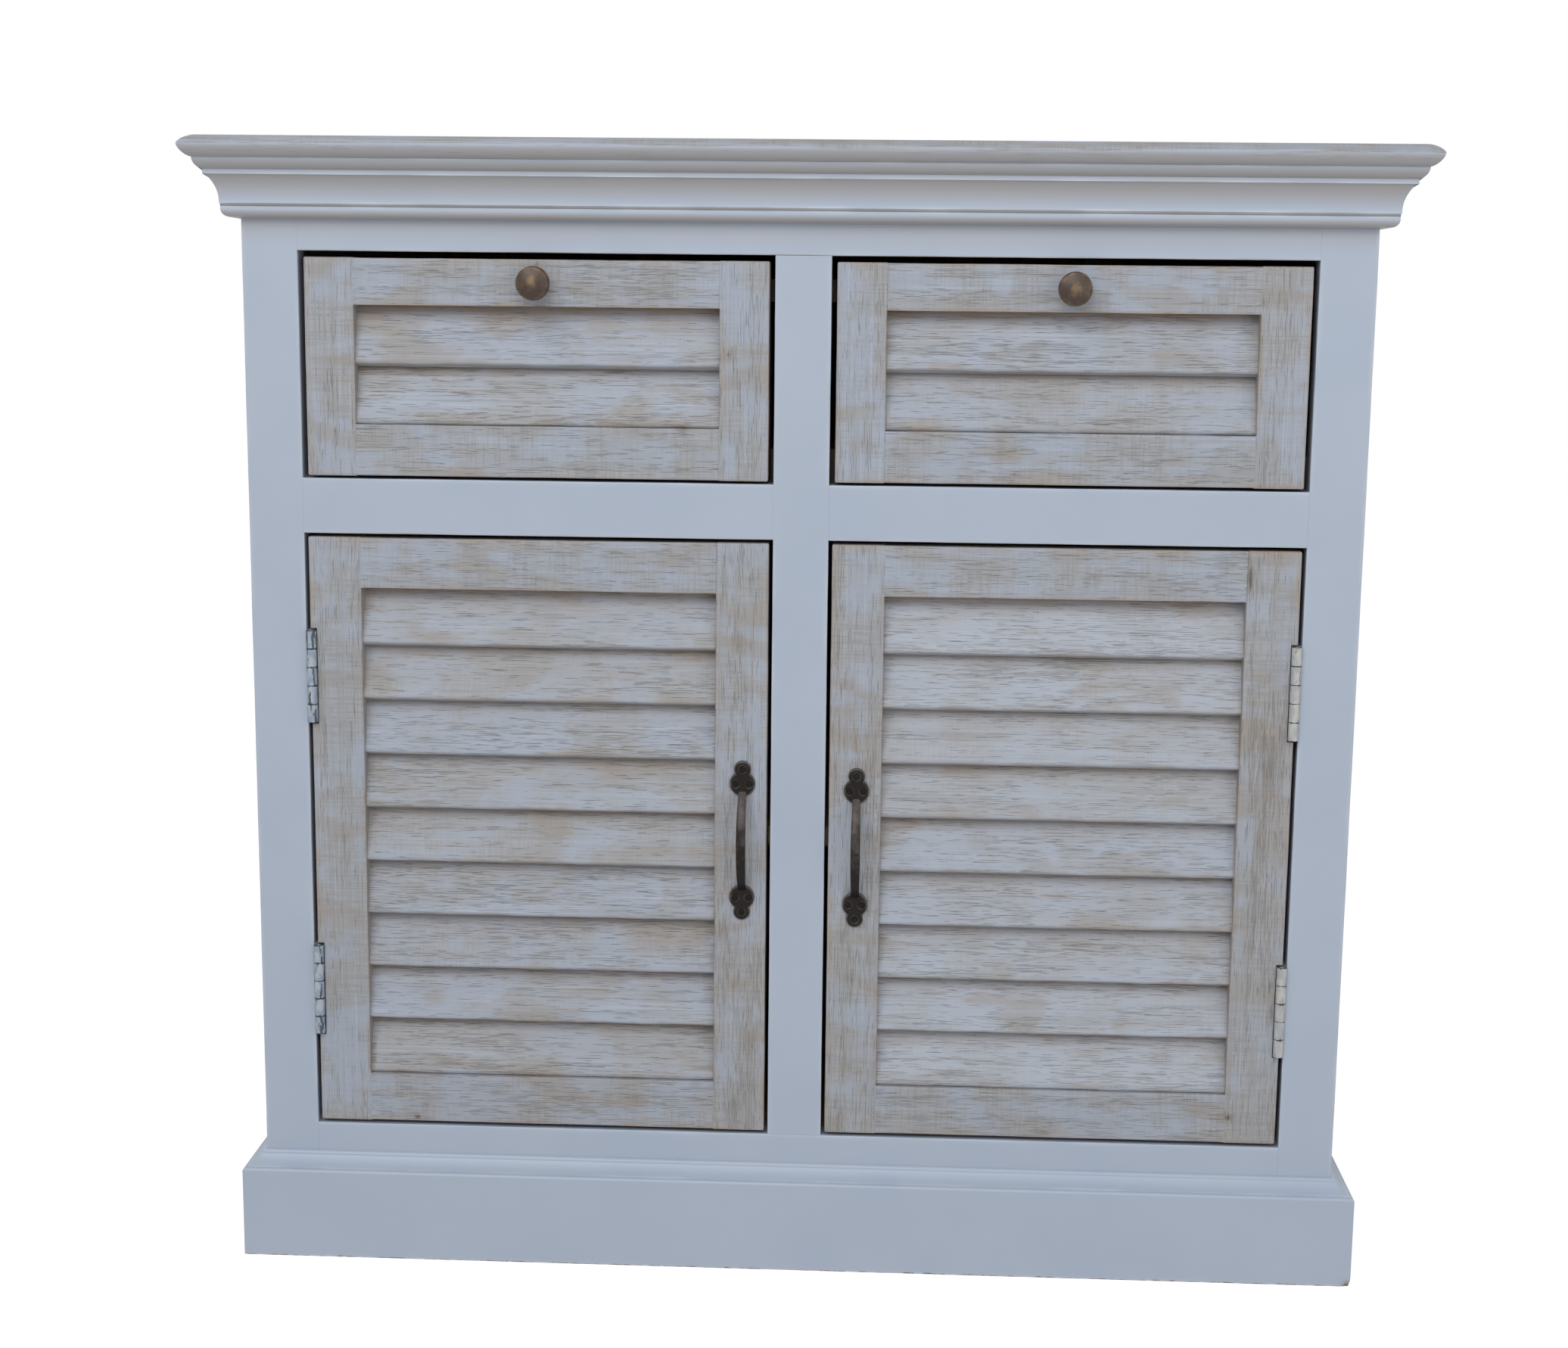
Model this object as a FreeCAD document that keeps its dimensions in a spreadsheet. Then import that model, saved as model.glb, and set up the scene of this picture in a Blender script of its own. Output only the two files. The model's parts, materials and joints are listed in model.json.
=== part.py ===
"""Louvred door cabinet, built the way a joiner builds it.

The cabinet stands on z = 0, is centred on x = 0 and faces -Y.  A face frame is fixed to a
panelled carcass under a moulded crown and a bullnosed top, and a mitred plinth runs round the
foot.  Two louvred drawers slide above two louvred doors, which swing on knuckled butt hinges.

Driving dimensions are in the sheet Sizes and the places worked out from them in the sheet
Layout.  All lengths are in millimetres.
"""
import FreeCAD, Part
import math
import os

import Sketcher
from FreeCAD import Vector

doc = FreeCAD.newDocument("LouvredCabinet")

SIZES = (
    # carcass and face frame
    ("carcass_width", 900), ("carcass_depth", 360), ("carcass_height", 914),
    ("side_thickness", 20), ("floor_thickness", 18), ("partition_thickness", 18),
    ("partition_housing", 4), ("panel_housing", 6), ("back_thickness", 6),
    ("back_rebate", 8), ("back_bottom", 60),
    ("frame_thickness", 22), ("outer_stile_width", 45), ("centre_stile_width", 45),
    ("bottom_rail_height", 45), ("middle_rail_height", 45), ("top_rail_height", 70.5),
    ("door_opening_bottom", 113.5), ("drawer_opening_height", 181.5),
    ("tenon_thickness", 8), ("tenon_length", 20), ("tenon_shoulder", 6),
    # top board: a bullnose on three edges
    ("top_thickness", 18), ("top_overhang", 39), ("top_upper_round", 7.5),
    ("top_lower_round", 9.5),
    # crown moulding, from the top board down to its bead
    ("crown_projection", 30), ("ovolo_run", 6.3), ("ovolo_drop", 8.5), ("ovolo_radius", 9.2),
    ("band_drop", 3.8), ("band_step", 1.3), ("cove_run", 10), ("cove_drop", 21.9),
    ("cove_radius", 29), ("crown_quirk", 1.1), ("crown_quirk_drop", 0.9), ("bead_step", 0.8),
    ("bead_flat", 4.3), ("bead_run", 4.8), ("bead_drop", 6.3), ("bead_radius", 6.5),
    ("bead_underside", 1.7),
    # plinth moulding, from the floor up to the face frame
    ("plinth_projection", 17), ("plinth_face", 74.5), ("plinth_arris", 2.5),
    ("plinth_quirk", 0.9), ("plinth_fillet", 0.8), ("plinth_cove_rise", 8),
    ("plinth_cove_radius", 20), ("plinth_bead", 3), ("plinth_bead_rise", 2.4),
    ("plinth_bead_radius", 3.4),
    # shelves on pins
    ("shelf_thickness", 16), ("shelf_rise", 243.5), ("shelf_side_gap", 1), ("shelf_front_gap", 8),
    ("shelf_back_gap", 4), ("shelf_pin_radius", 2.5), ("shelf_pin_length", 16),
    ("shelf_pin_inset", 50),
    # louvred frames of the doors and drawer fronts
    ("leaf_thickness", 26), ("louvre_thickness", 10), ("louvre_tilt", 17),
    ("louvre_recess", 1.5), ("louvre_nose", 2.5), ("louvre_housing", 8), ("louvre_seat", 0.3),
    # doors
    ("door_side_gap", 3), ("door_end_gap", 3.2), ("door_stile_width", 43),
    ("door_rail_height", 41.5), ("door_louvre_count", 9), ("door_tenon_length", 25),
    # drawers
    ("drawer_side_gap", 4.3), ("drawer_top_gap", 5), ("drawer_bottom_gap", 2.4),
    ("drawer_stile_width", 40), ("drawer_top_rail", 37.5), ("drawer_bottom_rail", 41.5),
    ("drawer_louvre_count", 2), ("box_side_clearance", 5), ("box_depth", 310),
    ("box_wall", 12), ("box_height", 140), ("box_bottom_thickness", 6),
    ("box_bottom_lift", 10), ("box_groove", 5),
    ("runner_thickness", 18), ("runner_bearing", 20), ("runner_play", 0.4),
    ("guide_height", 25), ("guide_play", 1.5), ("kicker_gap", 2.5), ("kicker_height", 18),
    # butt hinges
    ("hinge_length", 77), ("hinge_inset", 115), ("flap_width", 22), ("flap_thickness", 1.4),
    ("barrel_radius", 3.7), ("barrel_proud", 1.5), ("barrel_clearance", 0.35),
    ("knuckle_gap", 0.4), ("pin_radius", 1.8), ("pin_fit", 0.05),
    ("notch_width", 6.8), ("notch_depth", 6), ("notch_end_gap", 2),
    ("hinge_screw_pitch", 26), ("hinge_screw_setback", 13),
    # countersunk wood screws
    ("screw_radius", 1.5), ("screw_head_depth", 1.3), ("screw_length", 14),
    # door handles, each fitted by hand: setbacks from the lock edge, heights on the door
    ("left_handle_setback", 20), ("right_handle_setback", 22.8),
    ("left_handle_height", 250.8), ("right_handle_height", 246.5),
    ("eye_radius", 10.2), ("eye_spacing", 96), ("lobe_radius", 6.5), ("lobe_offset", 12.4),
    ("plate_thickness", 2.2), ("bar_radius", 3.3), ("bar_root_spacing", 82),
    ("bar_bow", 20.7), ("handle_screw_offset", 5.6),
    # drawer knobs
    ("knob_foot_radius", 8), ("knob_foot_thickness", 2), ("knob_neck_radius", 5),
    ("knob_neck_length", 7), ("knob_flare_length", 6), ("knob_flare_radius", 12),
    ("knob_rim_radius", 14), ("knob_rim_thickness", 1.6), ("knob_wall_length", 4.4),
    ("knob_dome_radius", 12.4), ("knob_dome_height", 3), ("knob_bolt_radius", 2.5),
    ("knob_bolt_length", 22),
    # magnetic catches on the floor panel and their strikes on the doors
    ("catch_inset", 30), ("catch_length", 46), ("catch_depth", 14), ("catch_height", 14),
    ("catch_gap", 0.5), ("strike_inset", 6), ("strike_lift", 1), ("strike_height", 9),
    ("strike_thickness", 1.2),
)

LAYOUT = (
    ("half_width", "Sizes.carcass_width / 2"),
    ("face_y", "(Sizes.top_overhang - Sizes.carcass_depth) / 2"),
    ("inner_back", "Sizes.carcass_depth - Sizes.back_thickness"),
    ("side_inner", "half_width - Sizes.side_thickness"),
    ("partition_half", "Sizes.partition_thickness / 2"),
    ("opening_outer", "half_width - Sizes.outer_stile_width"),
    ("opening_inner", "Sizes.centre_stile_width / 2"),
    ("opening_width", "opening_outer - opening_inner"),
    ("opening_centre", "(opening_outer + opening_inner) / 2"),
    ("bottom_rail_z", "Sizes.door_opening_bottom - Sizes.bottom_rail_height"),
    ("top_rail_z", "Sizes.carcass_height - Sizes.top_rail_height"),
    ("drawer_opening_z", "top_rail_z - Sizes.drawer_opening_height"),
    ("middle_rail_z", "drawer_opening_z - Sizes.middle_rail_height"),
    ("door_opening_height", "middle_rail_z - Sizes.door_opening_bottom"),
    ("floor_z", "Sizes.door_opening_bottom - Sizes.floor_thickness"),
    ("shelf_z", "Sizes.door_opening_bottom + Sizes.shelf_rise"),
    # crown and plinth profiles, measured outwards and upwards
    ("ovolo_out", "Sizes.crown_projection - Sizes.ovolo_run"),
    ("ovolo_z", "Sizes.carcass_height - Sizes.ovolo_drop"),
    ("band_z", "ovolo_z - Sizes.band_drop"),
    ("cove_out", "ovolo_out - Sizes.band_step - Sizes.cove_run"),
    ("cove_z", "band_z - Sizes.cove_drop"),
    ("crown_quirk_out", "cove_out - Sizes.crown_quirk"),
    ("crown_quirk_z", "cove_z - Sizes.crown_quirk_drop"),
    ("bead_out", "cove_out + Sizes.bead_step"),
    ("bead_z", "cove_z - Sizes.bead_flat"),
    ("crown_z", "bead_z - Sizes.bead_drop - Sizes.bead_underside"),
    ("plinth_lip_out", "Sizes.plinth_projection - Sizes.plinth_arris"),
    ("plinth_lip_z", "Sizes.plinth_face + Sizes.plinth_arris"),
    ("plinth_cove_z", "plinth_lip_z + Sizes.plinth_fillet"),
    ("plinth_bead_z", "plinth_cove_z + Sizes.plinth_cove_rise + Sizes.plinth_fillet"),
    # louvres
    ("lean_sin", "sin(Sizes.louvre_tilt)"),
    ("lean_cos", "cos(Sizes.louvre_tilt)"),
    ("lean_drop", "Sizes.louvre_thickness * lean_sin"),
    # doors and drawers
    ("door_width", "opening_width - 2 * Sizes.door_side_gap"),
    ("door_height", "door_opening_height - 2 * Sizes.door_end_gap"),
    ("door_z", "Sizes.door_opening_bottom + Sizes.door_end_gap"),
    ("door_edge", "opening_outer - Sizes.door_side_gap"),
    ("drawer_half", "opening_width / 2 - Sizes.drawer_side_gap"),
    ("drawer_z", "drawer_opening_z + Sizes.drawer_bottom_gap"),
    ("drawer_height",
     "Sizes.drawer_opening_height - Sizes.drawer_top_gap - Sizes.drawer_bottom_gap"),
    ("box_half", "opening_width / 2 - Sizes.box_side_clearance"),
    ("box_inner", "box_half - Sizes.box_wall"),
    ("box_end", "Sizes.leaf_thickness + Sizes.box_depth"),
    ("runner_z", "drawer_z - Sizes.runner_play"),
    ("kicker_z", "drawer_z + Sizes.box_height + Sizes.kicker_gap"),
    # hinges: jamb is measured from the pin, the lower ends from the bottom of the door
    ("jamb", "Sizes.barrel_radius + Sizes.barrel_clearance"),
    ("knuckle_pitch", "Sizes.hinge_length / 5"),
    ("lower_hinge", "Sizes.hinge_inset - Sizes.hinge_length / 2"),
    ("upper_hinge", "door_height - Sizes.hinge_inset - Sizes.hinge_length / 2"),
    # handles, knobs and catches
    ("bar_arc", "((Sizes.bar_root_spacing / 2) ^ 2 + Sizes.bar_bow ^ 2) / (2 * Sizes.bar_bow)"),
    ("knob_flare_y", "Sizes.knob_foot_thickness + Sizes.knob_neck_length"),
    ("knob_rim_y", "knob_flare_y + Sizes.knob_flare_length"),
    ("knob_wall_y", "knob_rim_y + Sizes.knob_rim_thickness"),
    ("knob_dome_y", "knob_wall_y + Sizes.knob_wall_length"),
    ("dome_arc",
     "(Sizes.knob_dome_radius ^ 2 + Sizes.knob_dome_height ^ 2) / (2 * Sizes.knob_dome_height)"),
    ("catch_x", "opening_inner + Sizes.catch_inset"),
    ("catch_y", "Sizes.leaf_thickness + Sizes.strike_thickness + Sizes.catch_gap"),
)

CABINET = ("0", "Layout.face_y", "0")
SIDES = (("left", -1), ("right", 1))
nodes = {}


def add_sheet(name, rows):
    """A spreadsheet with one aliased value or formula on each row."""
    sheet = doc.addObject("Spreadsheet::Sheet", name)
    for row, (alias, content) in enumerate(rows, 1):
        sheet.set(f"A{row}", alias)
        sheet.set(f"B{row}", f"={content}" if isinstance(content, str) else f"{content:g}")
        sheet.setAlias(f"B{row}", alias)
    return sheet


sizes = add_sheet("Sizes", SIZES)
layout = add_sheet("Layout", LAYOUT)
doc.recompute()


def value(expression):
    """The number that an expression stands for."""
    return float(layout.evalExpression(expression))


class Piece:
    """One body, drawn in the coordinates of the frame (x, y, z) that it is placed by."""

    def __init__(self, label, frame=CABINET, node=True):
        self.body = doc.addObject("PartDesign::Body", label)
        self.body.Label = label
        for axis, expression in zip("xyz", frame):
            self.body.setExpression(f"Placement.Base.{axis}", expression)
        if node:
            nodes[label] = self.body

    def sketch(self, role, offset="0"):
        """An empty sketch on an origin plane, moved along the plane's normal."""
        sketch = self.body.newObject("Sketcher::SketchObject", f"{self.body.Label}_sketch")
        plane = next(f for f in self.body.Origin.OriginFeatures if f.Role == role)
        sketch.AttachmentSupport = [(plane, "")]
        sketch.MapMode = "FlatFace"
        sketch.setExpression("AttachmentOffset.Base.z", offset)
        return sketch

    def feature(self, kind, sketch, length, reverse=False, taper=0):
        """A Pad along the sketch's normal or a Pocket against it, unless reversed."""
        feature = self.body.newObject(f"PartDesign::{kind}", f"{self.body.Label}_{kind}")
        feature.Profile = sketch
        feature.Reversed = reverse
        feature.setExpression("Length", length)
        feature.TaperAngle = taper
        return feature

    def block(self, x, y, z, kind="Pad"):
        """Pad or pocket a rectangular block between pairs of expressions."""
        sketch = self.sketch("XY_Plane", z[0] if kind == "Pad" else z[1])
        outline(sketch, [(x[0], y[0]), (x[1], y[0]), (x[1], y[1]), (x[0], y[1])])
        return self.feature(kind, sketch, f"({z[1]}) - ({z[0]})")

    def cylinders(self, role, offset, centres, radius, length, kind="Pad", **options):
        """Pad or pocket cylinders that stand on an offset plane."""
        sketch = self.sketch(role, offset)
        circles(sketch, centres, radius)
        return self.feature(kind, sketch, length, **options)

    def repeat(self, features, axis, step, count):
        """Repeat features along an axis of the first one's sketch."""
        pattern = self.body.newObject("PartDesign::LinearPattern", f"{self.body.Label}_pattern")
        pattern.Originals = features
        pattern.Direction = (features[0].Profile[0], [axis])
        pattern.setExpression("Length", f"({step}) * ({count} - 1)")
        pattern.setExpression("Occurrences", str(count))
        self.body.Tip = pattern

    def revolve(self, sketch, axis, angle):
        """Revolve a sketch about one of its axes, by half of the angle each way."""
        feature = self.body.newObject("PartDesign::Revolution", f"{self.body.Label}_turned")
        feature.Profile = sketch
        feature.ReferenceAxis = (sketch, [axis])
        feature.Midplane = angle < 360
        feature.Angle = angle

    def round_edges(self, radius, wanted):
        """Fillet the edges whose middle point is wanted."""
        doc.recompute()
        tip = self.body.Tip
        names = [f"Edge{number}" for number, edge in enumerate(tip.Shape.Edges, 1)
                 if wanted(edge.CenterOfMass)]
        fillet = self.body.newObject("PartDesign::Fillet", f"{self.body.Label}_fillet")
        fillet.Base = (tip, names)
        fillet.setExpression("Radius", radius)


def constrain(sketch, kind, where, expression):
    """Add a dimension to a sketch and bind it to an expression."""
    index = sketch.addConstraint(Sketcher.Constraint(kind, *where, value(expression)))
    sketch.renameConstraint(index, f"{kind}{index}")
    sketch.setExpression(f"Constraints.{kind}{index}", expression)


def pin_point(sketch, geometry, position, x, y):
    """Fix one point of a sketch by its two coordinates."""
    constrain(sketch, "DistanceX", (-1, 1, geometry, position), x)
    constrain(sketch, "DistanceY", (-1, 1, geometry, position), y)


def outline(sketch, points):
    """A closed outline.  A point is (x, y), or (x, y, radius, bulge) where the edge that
    leaves it is an arc: bulge is 1 for an arc that swells outwards and -1 for a hollow."""
    places = [Vector(value(point[0]), value(point[1]), 0) for point in points]
    following = places[1:] + places[:1]
    turn = math.copysign(1, sum(a.x * b.y - b.x * a.y for a, b in zip(places, following)))
    ends = []
    for index, (point, start, end) in enumerate(zip(points, places, following)):
        if len(point) == 2:
            sketch.addGeometry(Part.LineSegment(start, end), False)
            ends.append((1, 2))
            continue
        radius = value(point[2])
        along = end - start
        inwards = Vector(-along.y, along.x, 0).normalize() * turn * point[3]
        reach = math.sqrt(max(radius ** 2 - along.Length ** 2 / 4, 0))
        centre = (start + end) / 2 + inwards * reach
        angles = [math.atan2(p.y - centre.y, p.x - centre.x) for p in (start, end)]
        forwards = turn * point[3] > 0
        circle = Part.Circle(centre, Vector(0, 0, 1), radius)
        sketch.addGeometry(Part.ArcOfCircle(circle, *(angles if forwards else angles[::-1])),
                           False)
        ends.append((1, 2) if forwards else (2, 1))
    for index, point in enumerate(points):
        after = (index + 1) % len(points)
        sketch.addConstraint(
            Sketcher.Constraint("Coincident", index, ends[index][1], after, ends[after][0]))
        pin_point(sketch, index, ends[index][0], point[0], point[1])
        if len(point) > 2:
            constrain(sketch, "Radius", (index,), point[2])


def circles(sketch, centres, radius):
    """Circles of one radius about the given centres."""
    for x, y in centres:
        centre = Vector(value(x), value(y), 0)
        index = sketch.addGeometry(Part.Circle(centre, Vector(0, 0, 1), value(radius)), False)
        constrain(sketch, "Radius", (index,), radius)
        pin_point(sketch, index, 3, x, y)


def compound(label, pieces):
    """Separate solids held together as one object."""
    result = doc.addObject("Part::Compound", label)
    result.Label = label
    result.Links = [getattr(piece, "body", piece) for piece in pieces]
    return result


def blank(label, frame=CABINET):
    """A piece that becomes a node once its guests are housed in it."""
    return Piece(f"{label}_blank", frame, node=False)


def house(label, host, guests):
    """The node that is left of a blank when its guests are housed in it."""
    node = doc.addObject("Part::Cut", label)
    node.Label = label
    node.Base = host.body
    node.Tool = compound(f"{label}_guests", guests)
    nodes[label] = node


def scaled(factor):
    """A function that multiplies an expression by a factor."""
    return lambda expression: f"{factor} * ({expression})"


def ascending(expressions):
    """Expressions sorted by what they stand for."""
    return sorted(expressions, key=value)


def depths(thickness):
    """Front and back of the tenons of a member of the given thickness."""
    front = f"({thickness} - Sizes.tenon_thickness) / 2"
    return front, f"{front} + Sizes.tenon_thickness"


def add_rail(piece, across, ends, rise, thickness, tenon):
    """Add a rail with a tenon beyond each end to a piece."""
    piece.block([across(end) for end in ends], ("0", thickness), rise)
    piece.block((across(f"{ends[0]} - {tenon}"), across(f"{ends[1]} + {tenon}")),
                depths(thickness),
                (f"{rise[0]} + Sizes.tenon_shoulder", f"{rise[1]} - Sizes.tenon_shoulder"))


# face frame and carcass

def face_frame(frame_screws):
    """Stiles and rails, mortised and tenoned, with the hinge screws housed in the stiles."""
    thickness, tenon = "Sizes.frame_thickness", "Sizes.tenon_length"
    outer, inner = "Layout.opening_outer", "Layout.opening_inner"
    top = ("Layout.top_rail_z", "Sizes.carcass_height")
    middle = ("Layout.middle_rail_z", "Layout.drawer_opening_z")
    bottom = ("Layout.bottom_rail_z", "Sizes.door_opening_bottom")
    rails = {"top": blank("face_rail_top"), "bottom": blank("face_rail_bottom"),
             "left": Piece("face_rail_middle_left"), "right": Piece("face_rail_middle_right")}
    add_rail(rails["top"], scaled(1), (f"-{outer}", outer), top, thickness, tenon)
    add_rail(rails["bottom"], scaled(1), (f"-{outer}", outer), bottom, thickness, tenon)
    for name, side in SIDES:
        add_rail(rails[name], scaled(side), (inner, outer), middle, thickness, tenon)
    centre = blank("face_stile_centre")
    rise = ("Sizes.door_opening_bottom", "Layout.top_rail_z")
    centre.block((f"-{inner}", inner), ("0", thickness), rise)
    centre.block((f"-{inner} + Sizes.tenon_shoulder", f"{inner} - Sizes.tenon_shoulder"),
                 depths(thickness), (f"{rise[0]} - {tenon}", f"{rise[1]} + {tenon}"))
    house("face_rail_top", rails["top"], [centre])
    house("face_rail_bottom", rails["bottom"], [centre])
    house("face_stile_centre", centre, [rails["left"], rails["right"]])
    for name, side in SIDES:
        stile = blank(f"face_stile_{name}")
        across = scaled(side)
        stile.block((across(outer), across("Layout.half_width")), ("0", thickness),
                    ("0", "Sizes.carcass_height"))
        house(f"face_stile_{name}", stile,
              [rails["top"], rails["bottom"], rails[name], frame_screws[name]])


def carcass():
    """Sides, floor, partition and back, with the shelves on their pins."""
    front, back = "Sizes.frame_thickness", "Layout.inner_back"
    top = "Sizes.carcass_height"
    housed = "Layout.side_inner + Sizes.panel_housing"
    rebated = "Layout.side_inner + Sizes.back_rebate"
    back_panel = Piece("back_panel")
    back_panel.block((f"-({rebated})", rebated), (back, "Sizes.carcass_depth"),
                     ("Sizes.back_bottom", top))
    floor = blank("floor_panel")
    floor.block((f"-({housed})", housed), (front, back),
                ("Layout.floor_z", "Sizes.door_opening_bottom"))
    partition = blank("partition")
    partition.block(("-Layout.partition_half", "Layout.partition_half"), (front, back),
                    ("Sizes.door_opening_bottom - Sizes.partition_housing", top))
    pins = Piece("shelf_supports")
    centres = [(depth, "Layout.shelf_z - Sizes.shelf_pin_radius")
               for depth in (f"{front} + Sizes.shelf_pin_inset",
                             f"{back} - Sizes.shelf_pin_inset")]
    for name, side in SIDES:
        across = scaled(side)
        for plane in ("Layout.side_inner", "Layout.partition_half"):
            pins.cylinders("YZ_Plane", f"{across(plane)} - Sizes.shelf_pin_length / 2", centres,
                           "Sizes.shelf_pin_radius", "Sizes.shelf_pin_length")
        shelf = Piece(f"shelf_{name}")
        shelf.block((across("Layout.partition_half + Sizes.shelf_side_gap"),
                     across("Layout.side_inner - Sizes.shelf_side_gap")),
                    (f"{front} + Sizes.shelf_front_gap", f"{back} - Sizes.shelf_back_gap"),
                    ("Layout.shelf_z", "Layout.shelf_z + Sizes.shelf_thickness"))
    house("floor_panel", floor, [partition])
    house("partition", partition, [pins])
    for name, side in SIDES:
        across = scaled(side)
        panel = blank(f"side_{name}")
        panel.block((across("Layout.side_inner"), across("Layout.half_width")),
                    (front, "Sizes.carcass_depth"), ("0", top))
        house(f"side_{name}", panel, [floor, back_panel, pins])


def drawer_supports():
    """Runners with guides below the drawers, and kickers that stop them from tipping."""
    runners = Piece("drawer_runners")
    kickers = Piece("drawer_kickers")
    back = "Layout.inner_back"
    for _, side in SIDES:
        across = scaled(side)
        for wall, inside in (("Layout.side_inner", -1), ("Layout.partition_half", 1)):
            box = f"Layout.opening_centre - {inside} * Layout.box_half"
            bearing = (across(wall), across(f"{box} + {inside} * Sizes.runner_bearing"))
            guide = (across(wall), across(f"{box} - {inside} * Sizes.guide_play"))
            runners.block(bearing, ("Sizes.frame_thickness", back),
                          ("Layout.runner_z - Sizes.runner_thickness", "Layout.runner_z"))
            runners.block(guide, ("Sizes.frame_thickness", back),
                          ("Layout.runner_z", "Layout.runner_z + Sizes.guide_height"))
            kickers.block(bearing, ("Sizes.leaf_thickness + Sizes.guide_play", back),
                          ("Layout.kicker_z", "Layout.kicker_z + Sizes.kicker_height"))


# mouldings

CROWN = (
    ("0", "Layout.crown_z"), ("0", "Sizes.carcass_height"),
    ("Sizes.crown_projection", "Sizes.carcass_height", "Sizes.ovolo_radius", 1),
    ("Layout.ovolo_out", "Layout.ovolo_z"), ("Layout.ovolo_out", "Layout.band_z"),
    ("Layout.ovolo_out - Sizes.band_step", "Layout.band_z", "Sizes.cove_radius", -1),
    ("Layout.cove_out", "Layout.cove_z"), ("Layout.crown_quirk_out", "Layout.cove_z"),
    ("Layout.crown_quirk_out", "Layout.crown_quirk_z"),
    ("Layout.bead_out", "Layout.crown_quirk_z"),
    ("Layout.bead_out", "Layout.bead_z", "Sizes.bead_radius", 1),
    ("Layout.bead_out - Sizes.bead_run", "Layout.bead_z - Sizes.bead_drop"),
)
PLINTH = (
    ("0", "0"), ("Sizes.plinth_projection", "0"),
    ("Sizes.plinth_projection", "Sizes.plinth_face", "Sizes.plinth_arris", 1),
    ("Layout.plinth_lip_out", "Layout.plinth_lip_z"),
    ("Layout.plinth_lip_out - Sizes.plinth_quirk", "Layout.plinth_lip_z"),
    ("Layout.plinth_lip_out - Sizes.plinth_quirk", "Layout.plinth_cove_z",
     "Sizes.plinth_cove_radius", -1),
    ("Sizes.plinth_bead", "Layout.plinth_bead_z - Sizes.plinth_fillet"),
    ("Sizes.plinth_bead", "Layout.plinth_bead_z", "Sizes.plinth_bead_radius", 1),
    ("0", "Layout.plinth_bead_z + Sizes.plinth_bead_rise"),
)


def moulding(label, profile, projection):
    """Front and side lengths of a moulding, mitred at the front corners."""
    half = "Layout.half_width"
    reach = f"{half} + {projection}"
    bottom, *_, top = ascending([point[1] for point in profile])
    front = Piece(f"{label}_front")
    sketch = front.sketch("YZ_Plane", f"-({reach})")
    outline(sketch, [(f"-({point[0]})", *point[1:]) for point in profile])
    front.feature("Pad", sketch, f"2 * ({reach})")
    for name, side in SIDES:
        across = scaled(side)
        length = Piece(f"{label}_{name}")
        sketch = length.sketch("XZ_Plane", "-Sizes.carcass_depth")
        outline(sketch, [(across(f"{half} + {point[0]}"), *point[1:]) for point in profile])
        length.feature("Pad", sketch, f"Sizes.carcass_depth + {projection}")
        inner, tip = (across(half), "0"), (across(reach), f"-{projection}")
        for piece, waste in ((front, (tip[0], "0")), (length, (inner[0], tip[1]))):
            sketch = piece.sketch("XY_Plane", top)
            outline(sketch, [inner, waste, tip])
            piece.feature("Pocket", sketch, f"({top}) - ({bottom})")


def top_board():
    """Board that overhangs the front and the sides, with a bullnose there."""
    board = Piece("top_board")
    half = "Layout.half_width + Sizes.top_overhang"
    bottom = "Sizes.carcass_height"
    top = f"{bottom} + Sizes.top_thickness"
    board.block((f"-({half})", half), ("-Sizes.top_overhang", "Sizes.carcass_depth"),
                (bottom, top))
    for face, radius in ((top, "Sizes.top_upper_round"), (bottom, "Sizes.top_lower_round")):
        board.round_edges(radius, lambda middle: abs(middle.z - value(face)) < 0.1
                          and middle.y < value("Sizes.carcass_depth") - 1)


# louvred frames

def louvres(label, frame, across, ends, rise, count):
    """Leaning louvres between two rails, long enough to be housed in the stiles."""
    piece = Piece(label, frame)
    low, high = ascending((across(f"{ends[0]} - Sizes.louvre_housing"),
                           across(f"{ends[1]} + Sizes.louvre_housing")))
    pitch = f"(({rise[1]} - ({rise[0]}) - Layout.lean_drop - Sizes.louvre_seat) / {count})"
    base = f"{rise[0]} + Sizes.louvre_seat / 2"
    front, nose_z = "Sizes.louvre_recess", f"{base} + Layout.lean_drop"
    lean = f"{pitch} * Layout.lean_sin / Layout.lean_cos"
    heel = f"{front} + Sizes.louvre_thickness * Layout.lean_cos"
    sketch = piece.sketch("YZ_Plane", low)
    outline(sketch, [
        (f"{front} + Sizes.louvre_nose * Layout.lean_cos",
         f"{nose_z} - Sizes.louvre_nose * Layout.lean_sin"),
        (heel, base), (f"{heel} + {lean}", f"{base} + {pitch}"),
        (f"{front} + {lean}", f"{nose_z} + {pitch}"),
        (f"{front} + Sizes.louvre_nose * Layout.lean_sin",
         f"{nose_z} + Sizes.louvre_nose * Layout.lean_cos", "Sizes.louvre_nose", 1)])
    pad = piece.feature("Pad", sketch, f"({high}) - ({low})")
    piece.repeat([pad], "V_Axis", pitch, count)
    return piece


# hardware

def screws(label, frame, role, head, centres, reverse=False):
    """Countersunk screws driven along a plane's normal, or against it when reversed."""
    piece = Piece(label, frame, node=False)
    piece.cylinders(role, head, centres, "Sizes.screw_radius", "Sizes.screw_length",
                    reverse=reverse)
    piece.cylinders(role, head, centres, "Sizes.screw_radius + Sizes.screw_head_depth",
                    "Sizes.screw_head_depth", reverse=reverse, taper=-45)
    return piece


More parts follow.
